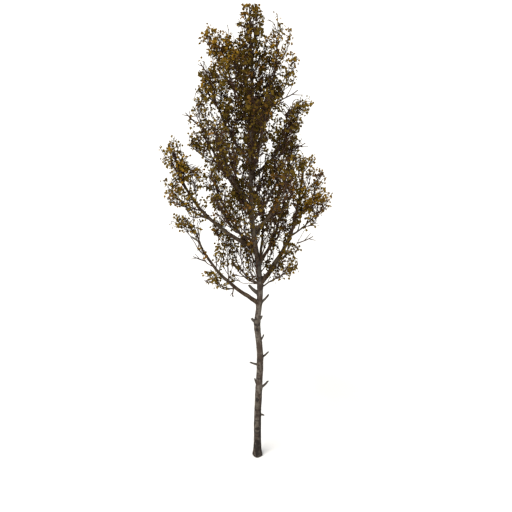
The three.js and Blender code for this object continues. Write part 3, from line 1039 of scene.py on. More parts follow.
# Rise of the stem's, limbs' and stubs' lumps and of the limbs' knots, in radii.
LUMPS, LIMB_LUMPS, STUB_LUMPS, KNOTS = 0.07, 0.11, 0.14, 0.3
FURROW_TOP, CREASE_TOP = 0.25, 0.2  # shares of their depth and darkness left far above the foot
FOOT_RELIEF, FOOT_EDGE = 0.35, 0.04  # share of the relief at the very foot, and where it is full
KNUCKLE_DROP, KNUCKLE_BAND = 0.02, 0.09  # how far under its knuckle the dark ring is, and its width
BAND_RISE, FINE_GRAIN, RIM_RISE = 0.0016, 0.0012, 0.0045
SCARS, SCAR_SEED, SCAR_DEPTH, SCAR_SQUASH = 40, 41, 0.006, 0.62
SCAR_SIZES, SCAR_SHIFT = (0.02, 0.05), 0.13
SCARRED = (0.35, 8.6)  # lowest and highest scar, before they are shifted by luck
COLLAR, COLLAR_RISE, COLLAR_DARK = 0.8, 0.22, 0.25  # size and rise as shares of the limb's girth
SHADE_SIDE_HEIGHTS, SHADE_SIDE_TURN = (4.95, 0.45), 0.3  # heights and way of the foot's painted shade, on its side away from the key light
SHADED_FROM, SHADED_TO = (5.9, 6.5), (9.4, 8.2)  # heights between which the stem is painted darker, as shade of the crown
DARK_FOOT_HEIGHTS = (2.5, 2.0)  # heights between which the whole foot darkens
LIMB_STEP = 1.2  # how far apart a limb's rings are, as a share of the step
COLLAR_SWELL, COLLAR_RUN = 0.38, 1.6  # how much wider a limb starts, and for how many girths
LIMB_SIDES = ((0.06, 16), (0.035, 10), (0.0, 7))  # over which girth a limb has how many corners
STUB_SIDES, STUB_STEP = 12, 0.012
STUB_END = (0.98, 0.92, 0.8, 0.5)  # how the broken end thins, ring by ring
STUB_SWELL, STUB_FADE = 0.5, 0.5  # how much wider a stub starts, and how fast that fades
SPLINTERS = 0.55  # longest splinter, as a share of the stub's girth
TEETH, TORN_RINGS = (-0.3, 1.0), 3  # range of luck in the splinters, and how many rings they draw out

# How dark the bark's features and its painted shade are, from 0 to 1.
CREASE_DARK, BAND_DARK, BLOTCH_DARK, BROW_DARK, KNUCKLE_DARK = 0.45, 0.55, 0.8, 0.7, 0.9
SHADE_SIDE_DARK, SHADE_DARK, FOOT_DARK, KNOT_DARK, PATCH_DARK = 0.5, 0.46, 0.2, 0.6, 0.7

# The patterns of the stem's bark: cells a metre along each axis, seed, octaves.
LUMPY = ((5, 5, 3.2), 1, 2)
CREASED = ((26, 26, 4.5), 2, 2)
BANDED = ((4, 4, 21), 3, 2)
GRAINY = ((70, 70, 70), 4, 1)
BLOTCHED = ((7, 7, 6), 8, 2)

# The patterns of the limbs' and stubs' bark, the same along each axis.
KNOTTY, PATCHED, UNEVEN = (5, 60, 1), (14, 30, 2), (9, 10, 2)
STUB_ROUGH, STUB_BLOTCHED = (30, 0, 2), (24, 5, 2)

# A mark on the stem: a positive lift is a limb's collar, a negative one a healed scar.
Mark = namedtuple("Mark", "height angle size lift depth")


def grid_noise(places, scale, seed, octaves, more=0):
    """A pattern on a grid of places. more is added to its seed."""
    flat = (places * np.asarray(scale)).reshape(-1, 3)
    return mottle(flat, seed + more, octaves).reshape(places.shape[:2])


def stem_marks():
    """The collars of the stem's limbs and stubs, and the healed scars."""
    marks = []
    for row in STUBS + BOUGHS:
        size, lift = row.girth * COLLAR, row.girth * COLLAR_RISE
        marks.append(Mark(row.height, math.radians(row.heading), size, lift, COLLAR_DARK))
    random = np.random.default_rng(SCAR_SEED)
    for height in np.linspace(*SCARRED, SCARS) + random.uniform(-SCAR_SHIFT, SCAR_SHIFT, SCARS):
        size = random.uniform(*SCAR_SIZES)
        marks.append(Mark(height, random.uniform(0, 2 * math.pi), size, -SCAR_DEPTH, 1.0))
    return marks


def collar_relief(across, above, mark):
    """Rise and darkness of the swelling round a limb, with the bark's dark fold over it."""
    rise = mark.lift * np.exp(-(np.hypot(across, above) ** 2))
    fold = np.exp(-(across**2) * 0.7 - (above - 1.5) ** 2 * 2.2)
    return rise, mark.depth * fold * 2


def scar_relief(across, above, mark):
    """Rise and darkness of a healed scar: a rim round a dark hollow, and a brow over it."""
    far = np.hypot(across, above)
    rim = np.exp(-((far - 1.35) ** 2) * 6)
    rise = RIM_RISE * rim + mark.lift * np.exp(-(far**2) * 1.6)
    hollow = mark.depth * np.exp(-(far**2) * 1.2)
    brow = np.exp(-((above - 0.9 - 0.22 * across**2) ** 2) * 9)
    return rise, np.maximum(hollow, BROW_DARK * brow * np.exp(-((across / 2.2) ** 2)))


def bark_relief(places, angles, rings, radius, furrows):
    """Rise and darkness of the stem's bark, without its marks, and the stem's painted shade."""
    foot = np.exp(-rings / FOOT_FADE)
    creases = np.clip(1 - np.abs(grid_noise(places, *CREASED)) * 2.4, 0, 1)
    bands = np.clip(grid_noise(places, *BANDED) * 4.5 - 1.1, 0, 1)
    blotches = np.clip(grid_noise(places, *BLOTCHED) * 6 - 0.8, 0, 1)
    rise = radius * LUMPS * grid_noise(places, *LUMPY)
    rise -= furrows * creases * (FURROW_TOP + (1 - FURROW_TOP) * foot)
    rise += BAND_RISE * bands + FINE_GRAIN * grid_noise(places, *GRAINY)
    dark = CREASE_DARK * creases * (CREASE_TOP + (1 - CREASE_TOP) * foot) + BAND_DARK * bands
    dark = np.maximum(dark, BLOTCH_DARK * blotches * np.clip(1.4 - rings / 5, 0.4, 1))
    # painted shade: the foot is darker on its side away from the key light, the right as seen from
    # the front
    shade_side = np.clip(np.cos(angles + SHADE_SIDE_TURN), 0, 1)[None, :] * between(rings, *SHADE_SIDE_HEIGHTS)
    # painted shade: the stem is darker where the crown is over it
    shaded = between(rings, *SHADED_FROM) * between(rings, *SHADED_TO)
    dark = np.maximum(dark, SHADE_SIDE_DARK * shade_side + SHADE_DARK * shaded)
    return rise, dark + FOOT_DARK * between(rings, *DARK_FOOT_HEIGHTS)


def stem_mesh(settings):
    """The whole stem, with flare, furrows, lumps, healed scars, and a collar at each limb."""
    heights = [np.arange(low, top, settings.ring_step * share) for low, top, share in STRETCHES]
    heights = np.concatenate([*heights, [TOP_RING]])
    path = stem_point(heights)
    path[:, 2] = heights
    level = np.tile([1.0, 0, 0], (len(path), 1)), np.tile([0, 1.0, 0], (len(path), 1))

    def relief(places, angles):
        rings = heights[:, None] + np.zeros_like(angles)[None, :]
        radius = stem_radius(heights)[:, None]
        rise, dark = bark_relief(places, angles, rings, radius, settings.furrows)
        lobes = np.cos(FLARE_LOBES * angles[None, :] + FLARE_TURN)
        rise += radius * FLARE_DEPTH * lobes * np.exp(-rings / FLARE_RISE)
        for mark in stem_marks():
            turn = (angles - mark.angle + math.pi) % (2 * math.pi) - math.pi
            across = turn[None, :] * radius / mark.size
            if mark.lift > 0:
                above = (rings - mark.height) / mark.size
                lift, shade = collar_relief(across, above, mark)
            else:
                above = (rings - mark.height) / (mark.size * SCAR_SQUASH)
                lift, shade = scar_relief(across, above, mark)
            rise += lift
            dark = np.maximum(dark, shade)
        knuckle = np.exp(-(((rings - KNUCKLE_HEIGHT + KNUCKLE_DROP) / KNUCKLE_BAND) ** 2))
        dark = np.maximum(dark, KNUCKLE_DARK * knuckle * (0.55 + 0.45 * lobes))
        share = FOOT_RELIEF + (1 - FOOT_RELIEF) * between(rings, 0, FOOT_EDGE)
        return rise * share, np.clip(dark, 0, 1)

    radius = stem_radius(heights) * (1 - FOOT_CURL * np.exp(-heights / CURL_RISE))
    return closed_tube(path, radius, settings.stem_sides, relief, frames=level)


def limb_mesh(limb, settings, seed):
    """A bough or branch from inside its parent to its thin end."""
    path = resampled(limb.path, settings.ring_step * LIMB_STEP)
    share = run_lengths(path) / run_lengths(path)[-1]
    along = run_lengths(limb.path)
    at = share * along[-1]
    girth = limb.radius[0] * 2
    swell = 1 + COLLAR_SWELL * np.exp(-at / (girth * COLLAR_RUN))
    radius = np.interp(at, along, limb.radius) * swell
    sides = next(count for over, count in LIMB_SIDES if girth > over)

    def relief(places, _):
        size = radius[:, None]
        knots = np.clip(grid_noise(places, *KNOTTY, more=seed) * 3 - 1.7, 0, 1)
        bands = np.clip(grid_noise(places, *PATCHED, more=seed) * 2 - 0.8, 0, 1)
        rise = size * (LIMB_LUMPS * grid_noise(places, *UNEVEN, more=seed) + KNOTS * knots)
        return rise, np.clip(KNOT_DARK * knots + PATCH_DARK * bands, 0, 1)

    return closed_tube(path, radius, sides, relief)


def broken_stub(row, random):
    """A dead bough's stub, splintered at its end."""
    start = stem_point(row.height)
    line = bent_line(start, row.heading, row.length, row.climb, STUB_OUT, STUB_RISE)
    path = resampled(line, STUB_STEP)
    along = run_lengths(path)
    share = along / along[-1]
    radius = row.girth / 2 * STUB_BARK * (1 - STUB_TAPER * share)
    radius *= 1 + STUB_SWELL * np.exp(-along / row.girth * STUB_FADE)
    radius[-len(STUB_END) :] *= STUB_END
    seed = int(random.integers(1000))

    def relief(places, angles):
        grain = np.cos(angles * 5 + seed) * 0.05 + np.cos(angles * 3 - seed) * 0.06
        rough = grain + STUB_LUMPS * grid_noise(places, *STUB_ROUGH, more=seed)
        rise = radius[:, None] * rough
        dark = np.clip(grid_noise(places, *STUB_BLOTCHED, more=seed), 0, 1)
        return rise, np.maximum(dark, np.clip(share[:, None] * 4 - 3.3, 0, 0.6))

    places, faces, dark = closed_tube(path, radius, STUB_SIDES, relief)
    # the last rings are drawn out unevenly, as splinters
    way = unit(path[-1] - path[-1 - TORN_RINGS])
    last = np.arange((len(path) - TORN_RINGS) * STUB_SIDES, len(path) * STUB_SIDES)
    teeth = np.tile(random.uniform(*TEETH, STUB_SIDES) ** 3, TORN_RINGS)
    places[last] += way * (teeth * row.girth * SPLINTERS)[:, None]
    return places, faces, dark


# ---- Dead twigs ----

DEAD_TWIG_RADIUS, DEAD_TWIG_SIDES = 0.023, 5
DEAD_TWIG_STEP, DEAD_TWIG_WAVER = 0.04, 0.03
TWIG_FORKS = ((0.45, 0.6, 0.5), (0.7, -0.7, 0.35))  # share along the twig, turn, and size
FORK_GIRTH, TWIG_END = 0.6, 0.6  # share of the radius that a fork has, and that a twig ends with
HANG = 0.12  # four times how far a twig hangs in its middle, as a share of its length

# Bare twigs at the crown's edges: where they start, heading, reach and climb.
DeadTwig = namedtuple("DeadTwig", "x y z heading reach climb")
DEAD_TWIGS = [
    DeadTwig(0.53, 0.0, 12.28, 0, 0.62, 0.38),
    DeadTwig(0.55, 0.0, 12.12, 0, 0.3, 0.1),
    DeadTwig(-1.86, 0.0, 11.62, 180, 0.28, 0.3),
    DeadTwig(0.96, 0.0, 10.76, 0, 0.5, 0.32),
    DeadTwig(1.67, 0.0, 10.1, 0, 0.26, 0.02),
    DeadTwig(1.28, 0.0, 8.0, 0, 0.48, 0.2),
    DeadTwig(1.6, 0.0, 8.5, 0, 0.24, 0.14),
    DeadTwig(-0.43, 0.0, 14.35, 180, 0.18, 0.1),
    DeadTwig(-1.5, 0.0, 13.1, 180, 0.18, 0.3),
    DeadTwig(0.87, 0.0, 13.33, 0, 0.15, 0.2),
    DeadTwig(-1.6, 0.0, 7.37, 180, 0.38, 0.16),
    DeadTwig(-0.79, 0.0, 6.33, 200, 0.05, -0.28),
    DeadTwig(-1.5, 0.0, 6.7, 185, 0.22, -0.12),
    DeadTwig(0.3, 1.6, 9.8, 80, 0.4, 0.3),
    DeadTwig(-0.6, 1.5, 9.2, 110, 0.35, 0.3),
    DeadTwig(0.2, -1.6, 9.4, 280, 0.3, 0.3),
    DeadTwig(0.9, 1.2, 11.6, 50, 0.4, 0.25),
    DeadTwig(-0.7, -1.0, 12.4, 240, 0.3, 0.3),
]


def twig_line(start, way, size, random):
    """A twig's line, which hangs a little and strays."""
    t = np.linspace(0, 1, LINE_STEPS)[:, None]
    line = start + way * t - UP * HANG * size * t * (1 - t)
    line = wavering(line, DEAD_TWIG_WAVER, int(random.integers(900)))
    return resampled(line, DEAD_TWIG_STEP)


def dead_twig(row, random):
    """The tubes of a bare twig that forks twice, starting inside the wood nearest to its place."""
    wood = crown()
    number, _ = nearest(wood.place[: wood.count], [row[:3]])
    away = direction(row.heading) * row.reach + UP * row.climb
    across = unit(np.cross(away, np.cross(UP, away)))
    size = np.linalg.norm(away)
    main = twig_line(wood.place[number[0]], away, size, random)
    lines = [main]
    for from_share, turn, share in TWIG_FORKS:
        start = main[round(from_share * (len(main) - 1))]
        way = away * share + across * size * share * turn
        lines.append(twig_line(start, way, size * share, random))
    tubes = []
    for line in lines:
        thick = DEAD_TWIG_RADIUS * (1.0 if line is main else FORK_GIRTH)
        radius = np.linspace(thick, thick * TWIG_END, len(line))
        tubes.append(closed_tube(line, radius, DEAD_TWIG_SIDES))
    return tubes


# ---- Shoots and twigs ----

THICK_SHOOT = 0.0125  # radius from which a run of wood is a shoot, and under which a twig
SHOOT_SIDES, TWIG_SIDES = 5, 3
SOCKET_SWELL = 1.25  # how much wider a side shoot starts
END_THIN = 0.35  # share of its radius that is left at a twig's end
RING_WAY = np.array([1.0, 0.12, 0.05])  # where a ring's first corner points, so rings don't twist


def first_radii(wood, shape, shoots):
    """For each point, the radius at the start of its shoot's run."""
    base = np.zeros(wood.count)
    for i in shoots:
        p = wood.parent[i]
        leads = wood.kind[p] == SHOOT and shape.main[p] == i
        base[i] = base[p] if leads else shape.radius[i]
    return base


def wood_rings(centres, ways, sizes, sides):
    """A ring of corners round each centre, square to its way."""
    first = unit(RING_WAY - ways * (ways @ RING_WAY)[:, None])
    out = spokes(first, np.cross(ways, first), sides)
    return centres[:, None, :] + out * sizes[:, None, None]


def wood_tubes(wood, shape, chosen, sides):
    """Tubes for the chosen points' last steps, each run of main children as one tube."""
    place, radius = wood.place, shape.radius
    start, after = wood.parent[chosen], shape.main[chosen]
    leads = (shape.main[start] == chosen) & (wood.kind[start] == SHOOT)
    own = np.full(wood.count, -1)
    own[chosen] = np.arange(len(chosen))
    way = unit(place[chosen] - place[start])
    onward = np.where((after >= 0)[:, None], unit(place[after] - place[chosen]), way)
    ends = after < 0
    sizes = np.where(ends, radius[chosen] * END_THIN, radius[chosen])
    upper_rings = wood_rings(place[chosen], unit(way + onward), sizes, sides)
    # a side shoot starts with a ring of its own, a little swollen, inside what bears it
    needs = ~leads | (own[start] < 0)
    swollen = radius[chosen[needs]] * SOCKET_SWELL
    base_rings = wood_rings(place[start[needs]], way[needs], swollen, sides)
    places = np.concatenate([upper_rings.reshape(-1, 3), base_rings.reshape(-1, 3)])
    upper = np.arange(len(chosen)) * sides
    lower = np.where(needs, 0, own[start] * sides)
    lower[needs] = (len(chosen) + np.arange(needs.sum())) * sides
    side = np.arange(sides)
    onto = (side + 1) % sides
    a, b = lower[:, None] + side, lower[:, None] + onto
    c, d = upper[:, None] + onto, upper[:, None] + side
    faces = [np.stack([a, b, c], -1).reshape(-1, 3), np.stack([a, c, d], -1).reshape(-1, 3)]
    for k in range(1, sides - 1):
        faces.append(np.stack([upper[ends], upper[ends] + k, upper[ends] + k + 1], axis=1))
    return places, np.concatenate(faces)


# ---- Leaves ----

# One side of a blade: share of its length, and half width as a share of its length.
BLADE_EDGE = [(0.04, 0.3), (0.26, 0.5), (0.54, 0.48), (0.8, 0.27)]
RIB_TIP = 1.04
FOLD, DROOP = 0.32, 0.16  # rise of the blade's sides, and fall of its tip
STALK_WIDTH = 0.045
LEAFY_RADIUS = 0.014  # radius under which limbs bear leaves too
END_LEAVES = (2, 5)  # leaves at a twig's end, from and under
ALONG_LUCK = (0.2, 0.8)  # range of luck in a leaf's place along its twig
LEAFY_LEADER, LEADER_HALF = 11.8, 0.35  # height and half width in which some ends bear one more
LEADER_EXTRA = 0.5  # share of those ends
LEAF_TURN = 2.4  # from one leaf to the next round its twig
# Leaves kept in the middle of the crown, and more where they stand low and at its edge.
LEAVES_KEPT, LOW_KEPT, EDGE_KEPT = 0.52, 0.08, 0.48
LOW_CROWN = (10.0, 9.0)
BLADE_SIZES, STALK_SIZES = (0.75, 1.2), (0.5, 1.3)  # as shares of the usual
# How far stalks rise and lean along the twig, and blades sag from their stalk's way.
STALK_RISE, STALK_LEAN, BLADE_SAG = (0.1, 0.7), (0.2, 1.1), (0.2, 1.6)
BLADE_STRAY = 0.35
FACING_UP, FACING_OUT, FACING_STRAY = 0.35, 0.6, 0.5


def blade_shape():
    """A leaf's places and triangles, its stalk ending at the origin and its blade one unit long.

    The places are the rib's foot, middle and tip, the right edge, the left edge, and the stalk's two
    far corners. Each side of the blade is a fan round the rib's middle.
    """
    rib = [(0, 0, 0), (0, 0.5, -DROOP * 0.25), (0, RIB_TIP, -DROOP * 1.1)]
    right = [(w, y, FOLD * w - DROOP * y * y) for y, w in BLADE_EDGE]
    left = [(-w, y, z) for w, y, z in right]
    stalk = [(-STALK_WIDTH, -1, 0), (STALK_WIDTH, -1, 0)]
    faces = []
    last = len(rib)
    for turned in (False, True):
        first, last = last, last + len(BLADE_EDGE)
        run = [0, *range(first, last), 2]
        for a, b in zip(run, run[1:]):
            faces.append((1, b, a) if turned else (1, a, b))
    faces.append((last, last + 1, 0))
    return np.array(rib + right + left + stalk, float), np.array(faces)


def leaf_joints(wood, shape, settings, random):
    """Where each leaf joins its twig: the joint, the twig's way, the way out, and its point."""
    numbers = np.arange(1, wood.count)
    slender = (wood.kind[numbers] == SHOOT) | (shape.radius[numbers] < LEAFY_RADIUS)
    numbers = numbers[(shape.ahead[numbers] < settings.leafy) & slender]
    parents = wood.parent[numbers]
    run = wood.place[numbers] - wood.place[parents]
    span = np.linalg.norm(run, axis=1)
    way = unit(run)
    count = np.floor(span / settings.spacing + random.random(len(span))).astype(int)
    ends = shape.main[numbers] < 0
    tuft = random.integers(*END_LEAVES, len(ends))
    core = np.abs(wood.place[numbers, 0] - LEADER_X) < LEADER_HALF
    core &= wood.place[numbers, 2] > LEAFY_LEADER
    tuft += core & (random.random(len(ends)) < LEADER_EXTRA)
    count = count + np.where(ends, tuft, 0)
    pick = np.repeat(np.arange(len(numbers)), count)
    order = np.arange(len(pick)) - np.repeat(np.cumsum(count) - count, count)
    spaces = np.maximum(count[pick] - np.where(ends[pick], 1, 0), 1)
    share = np.minimum((order + random.uniform(*ALONG_LUCK, len(pick))) / spaces, 1.0)
    joint = wood.place[parents[pick]] + run[pick] * share[:, None]
    turn = random.uniform(0, 2 * math.pi, len(numbers))[pick] + order * LEAF_TURN
    out = around(*squares(way[pick], LEAF_ASIDE), turn[:, None])
    return joint, way[pick], out, numbers[pick]


def leaf_kept(joint, out, places, numbers, settings):
    """Whether each leaf is in the crown's box, clear of the gaps, and among those kept."""
    tips = joint + out * settings.stalk
    clear = np.array([not out_of_box(tip, 0.0) and not in_gap(tip) for tip in tips])
    luck = luck_of(numbers, *KEPT_LUCK)
    share = LEAVES_KEPT + LOW_KEPT * between(places[:, 2], *LOW_CROWN)
    return clear & (luck < share + EDGE_KEPT * edgeness(places))


def leaf_meshes(joint, way, out, settings, random):
    """Every leaf's places, and its triangles counted from its own first place."""
    shape, faces = blade_shape()
    count = len(joint)
    lift = random.uniform(*STALK_RISE, count)[:, None]
    stalk = unit(out + way * random.uniform(*STALK_LEAN, count)[:, None] + UP * lift)
    sag = random.uniform(*BLADE_SAG, count)[:, None]
    rib = unit(stalk + random.normal(0, BLADE_STRAY, (count, 3)) - UP * sag)
    stray = random.normal(0, FACING_STRAY, (count, 3))
    facing = unit(UP * FACING_UP + out * FACING_OUT + stray)
    across = unit(np.cross(rib, facing))
    normal = np.cross(across, rib)
    size = settings.blade * random.uniform(*BLADE_SIZES, count)
    reach = settings.stalk * random.uniform(*STALK_SIZES, count)
    blade = size[:, None, None] * shape
    places = (joint + stalk * reach[:, None])[:, None, :]
    for k, axis in enumerate((across, rib, normal)):
        places = places + blade[..., k : k + 1] * axis[:, None, :]
    # the stalk's two far corners sit on the twig
    width = (across * (STALK_WIDTH * size)[:, None])[:, None, :]
    corners = np.array([-1.0, 1.0])[None, :, None] * width
    places[:, -2:] = joint[:, None, :] + corners
    return places, faces


# ---- Tints ----

GOLD, RUST, OLIVE = range(3)
TINTS = ("gold", "rust", "olive")
# Each tint has three copies, from lit to shaded, as painted light and shade: how light each copy is.
PAINTED_LIGHT_LEVELS = {"gold": (1.25, 0.95, 0.65), "rust": (1.3, 0.95, 0.65), "olive": (1.85, 1.3, 0.8)}

# Patches where most leaves are rust, and others where most are gold, as seen from the front:
# offset along X, height, radius.
RUST_PATCHES = [(0.74, 9.3, 0.42), (0.55, 8.95, 0.25), (-0.11, 12.75, 0.22), (-1.0, 8.62, 0.2)]
GOLD_PATCHES = [(-0.95, 13.8, 0.75), (1.75, 9.6, 0.85), (0.9, 13.7, 0.6), (-0.2, 14.8, 0.3)]
# How much the crown's edge, soft patches, luck and the gold patches turn a spray toward gold.
# the edge's share is partly autumn colour, partly painted light and shade: gold at the crown's edge,
# olive inside
BY_EDGE, BY_MOTTLE, BY_LUCK, BY_PATCH = 0.53, 0.15, 0.5, 0.37
TINT_CELLS, TINT_SEED = 1.5, 21  # of the soft patches, in cells a metre
GOLD_LIMIT = 0.64  # over which a spray is gold
MOST_EDGE = 0.85  # most edgeness that counts for a tint
STRAY_RUST = 0.06  # share of the sprays that are rust outside the patches
RUST_SHARE = 0.75  # the same within them
RUST_FROM, RUST_RAGGED = 0.7, 0.6  # how far a rust patch reaches at least, and how unevenly beyond
# How much a spray's depth in the crown (painted shade inside the crown), its luck and the leaf's luck
# (painted light and shade from leaf to leaf) darken a leaf.
PAINTED_SHADE_BY_DEPTH, BY_SPRAY, BY_LEAF, LIGHTEST = 2.4, 1.2, 1.2, 0.6
MOST_SPRAY_ENDS = 4  # ends that a spray has at most

# Rough half width of the crown at each height.
OUTLINE_HEIGHTS = (5.6, 6.6, 7.8, 9.0, 10.6, 12.2, 13.4, 14.4, 15.0)
OUTLINE_HALVES = (0.3, 1.1, 1.9, 2.4, 2.3, 1.6, 1.2, 0.8, 0.3)
CROWN_X, CROWN_FLATNESS = -0.12, 0.5
TOP_EDGE, TOP_GAIN = (13.1, 14.6), 0.5  # heights over which all the crown comes to count as edge
MOST_EDGENESS = 1.2


def edgeness(places):
    """0 at the middle of the crown as seen from the front or back, about 1 at its edge and top."""
    off = np.hypot(places[:, 0] - CROWN_X, places[:, 1] * CROWN_FLATNESS)
    edge = off / np.interp(places[:, 2], OUTLINE_HEIGHTS, OUTLINE_HALVES)
    return np.clip(edge + between(places[:, 2], *TOP_EDGE) * TOP_GAIN, 0, MOST_EDGENESS)


def spray_starts(wood, shape):
    """For each point, the start of its spray, which is what grows beyond a point of several ends."""
    start = np.arange(wood.count)
    for i in range(1, wood.count):
        p = wood.parent[i]
        joined = wood.kind[i] == SHOOT and wood.kind[p] == SHOOT
        if joined and shape.tips[p] <= MOST_SPRAY_ENDS:
            start[i] = start[p]
    return start


def dealt_tints(wood, shape, numbers, random):
    """Each leaf's tint, the same for all the leaves of a spray, and its painted shade: darker deeper
    in the crown, and by luck.
    """
    own = spray_starts(wood, shape)[numbers]
    centre = wood.place[own]
    luck = luck_of(own, *TINT_LUCK)
    other = luck_of(own, *SHADE_LUCK)
    outer = np.minimum(edgeness(centre), MOST_EDGE)
    height = centre[:, 2] + FRONT_VIEW * centre[:, 1]
    golden, rusty = np.zeros(len(centre)), other < STRAY_RUST
    for x, z, size in GOLD_PATCHES:
        golden = np.maximum(golden, np.hypot(centre[:, 0] - x, height - z) < size)
    for x, z, size in RUST_PATCHES:
        far = np.hypot(centre[:, 0] - x, height - z) / size
        rusty |= (far < RUST_FROM + RUST_RAGGED * luck) & (other < RUST_SHARE)
    patch = mottle(centre * TINT_CELLS, TINT_SEED, 2)
    # partly autumn colour, partly painted light and shade: sprays at the crown's edge turn gold,
    # inner ones stay olive
    turned = BY_EDGE * outer + BY_MOTTLE * patch + BY_LUCK * (luck - 0.5) + BY_PATCH * golden
    kinds = np.where(rusty, RUST, np.where(turned > GOLD_LIMIT, GOLD, OLIVE))
    each = random.random(len(own))
    # painted shade: sprays deeper in the crown take the darker copies of their tint
    shade = (1 - outer) * PAINTED_SHADE_BY_DEPTH + other * BY_SPRAY + each * BY_LEAF - LIGHTEST
    return kinds, np.clip(np.floor(shade), 0, 2).astype(int)


# ---- Materials ----

# A Mix node's colour sockets, by number because others have the same names.
FIRST_COLOUR, SECOND_COLOUR, MIXED_COLOUR = 6, 7, 2


class Level:
    """A node's output that takes arithmetic, each step adding a Math node."""

    def __init__(self, finish, socket):
        self.finish, self.socket = finish, socket

    def _math(self, operation, first, second):
        return self.finish.add("ShaderNodeMath", {"operation": operation}, {0: first, 1: second})

    def __add__(self, other):
        return self._math("ADD", self, other)

    def __radd__(self, other):
        return self._math("ADD", other, self)

    def __mul__(self, other):
        return self._math("MULTIPLY", self, other)

    def __rmul__(self, other):
        return self._math("MULTIPLY", other, self)


class Finish:
    """A material under way."""

    def __init__(self, name, **constants):
        self.material = bpy.data.materials.new(name)
        self.material.use_nodes = True
        self.tree = self.material.node_tree
        self.shader = self.tree.nodes["Principled BSDF"]
        self.feed(**constants)

    def add(self, kind, settings=None, inputs=None, output=0):
        """A node: its settings first, then its sockets' values or links."""
        node = self.tree.nodes.new(kind)
        for name, value in (settings or {}).items():
            setattr(node, name, value)
        for name, value in (inputs or {}).items():
            self.join(value, node.inputs[name])
        return Level(self, node.outputs[output])

    def join(self, value, socket):
        """Links a level to a socket, or sets the socket to a constant."""
        if isinstance(value, Level):
            self.tree.links.new(value.socket, socket)
        else:
            socket.default_value = value

    def feed(self, **sockets):
        """Levels or constants for the shader's sockets, with _ for each space in a name."""
        for name, value in sockets.items():
            self.join(value, self.shader.inputs[name.replace("_", " ")])

    def noise(self, scale, detail=3.0, stretch=(1, 1, 1), rough=0.55):
        """Noise in the object's own coordinates, stretched."""
        where = self.add("ShaderNodeTexCoord", output="Object")
        place = self.add("ShaderNodeVectorMath", {"operation": "MULTIPLY"}, {0: where, 1: stretch})
        inputs = {"Vector": place, "Scale": scale, "Detail": detail, "Roughness": rough}
        return self.add("ShaderNodeTexNoise", inputs=inputs)

    def ramp(self, level, low, high):
        """0 under low, 1 over high."""
        inputs = {"Value": level, "From Min": low, "From Max": high}
        return self.add("ShaderNodeMapRange", {"interpolation_type": "SMOOTHSTEP"}, inputs)

    def blend(self, share, first, second):
        """From the first colour to the second."""
        first = first if isinstance(first, Level) else (*first, 1)
        second = second if isinstance(second, Level) else (*second, 1)
        inputs = {"Factor": share, FIRST_COLOUR: first, SECOND_COLOUR: second}
        return self.add("ShaderNodeMix", {"data_type": "RGBA"}, inputs, MIXED_COLOUR)

    def bump(self, level, strength, distance):
        """A normal that follows the level as a height."""
        inputs = {"Height": level, "Strength": strength, "Distance": distance}
        return self.add("ShaderNodeBump", inputs=inputs)


WEATHERED_WOOD = (0.22, 0.2, 0.17)


def toned(colour, light, warmth=0.0):
    """A shade of a tint, lighter or darker, warmer or cooler."""
    r, g, b = colour
    return min(1, r * light * (1 + warmth)), min(1, g * light), min(1, b * light * (1 - warmth))


def bark_finish(name, settings, weathered=0.0, warm=0.0, shade=1.0):
    """Smooth grey-brown bark, mottled, with dark scars, bands and fine cracks."""
    finish = Finish(name, Specular_IOR_Level=0.15)
    broad = finish.noise(1.7)
    patches = finish.noise(9.0, 4.0, (1, 1, 0.5))
    streaks = finish.noise(34.0, 4.0, (1, 1, 0.16), 0.65)
    bands = finish.noise(16.0, stretch=(0.22, 0.22, 1))
    scar = finish.add("ShaderNodeAttribute", {"attribute_name": "scar"}, output="Fac")
    # shade darkens the whole bark; the boughs' darker copy is painted shade of the crown
    brown, pale = toned(settings.brown, shade, warm), toned(settings.pale, shade, warm)
    colour = finish.blend(finish.ramp(patches + broad * 0.6, 0.7, 0.94), brown, pale)
    colour = finish.blend(finish.ramp(broad, 0.5, 0.72) * 0.55, colour, settings.green)
    colour = finish.blend(finish.ramp(streaks, 0.52, 0.72) * 0.5, colour, settings.dark)
    colour = finish.blend(finish.ramp(bands, 0.6, 0.74) * 0.5, colour, settings.dark)
    # the scar layer: scars, bands and cracks, and on the stem painted shade as well
    colour = finish.blend(finish.ramp(scar, 0.15, 0.8) * 0.88, colour, settings.dark)
    if weathered:
        colour = finish.blend(weathered, colour, WEATHERED_WOOD)
    grain = streaks * 0.5 + patches * 0.3 + finish.noise(120.0) * 0.2
    normal = finish.bump(grain, 0.5, 0.012)
    finish.feed(Base_Color=colour, Roughness=0.72 + patches * 0.2, Normal=normal)
    return finish.material


def twig_finish(name, settings):
    """Reddish-brown young bark with paler mottling."""
    finish = Finish(name, Specular_IOR_Level=0.15)
    broad = finish.noise(2.2, 2.0)
    fine = finish.noise(26.0, stretch=(1, 1, 0.4))
    pale = finish.ramp(fine * 0.5 + broad * 0.5, 0.4, 0.62)
    colour = finish.blend(pale, settings.red, settings.brown)
    normal = finish.bump(fine, 0.3, 0.004)
    finish.feed(Base_Color=colour, Roughness=0.55 + fine * 0.25, Normal=normal)
    return finish.material


def leaf_finish(name, colour):
    """A satin leaf of one plain tint."""
    constants = {"Base_Color": (*colour, 1.0), "Roughness": 0.7, "Specular_IOR_Level": 0.06}
    return Finish(name, **constants).material


def floor_finish(colour):
    """A plain pale floor, worn a little lighter in places."""
    finish = Finish("pale_floor", Specular_IOR_Level=0.0, Roughness=0.9)
    worn = finish.ramp(finish.noise(0.8, 2.0), 0.3, 0.7)
    finish.feed(Base_Color=finish.blend(worn, colour, toned(colour, 1.02)))
    return finish.material


# ---- The stage ----

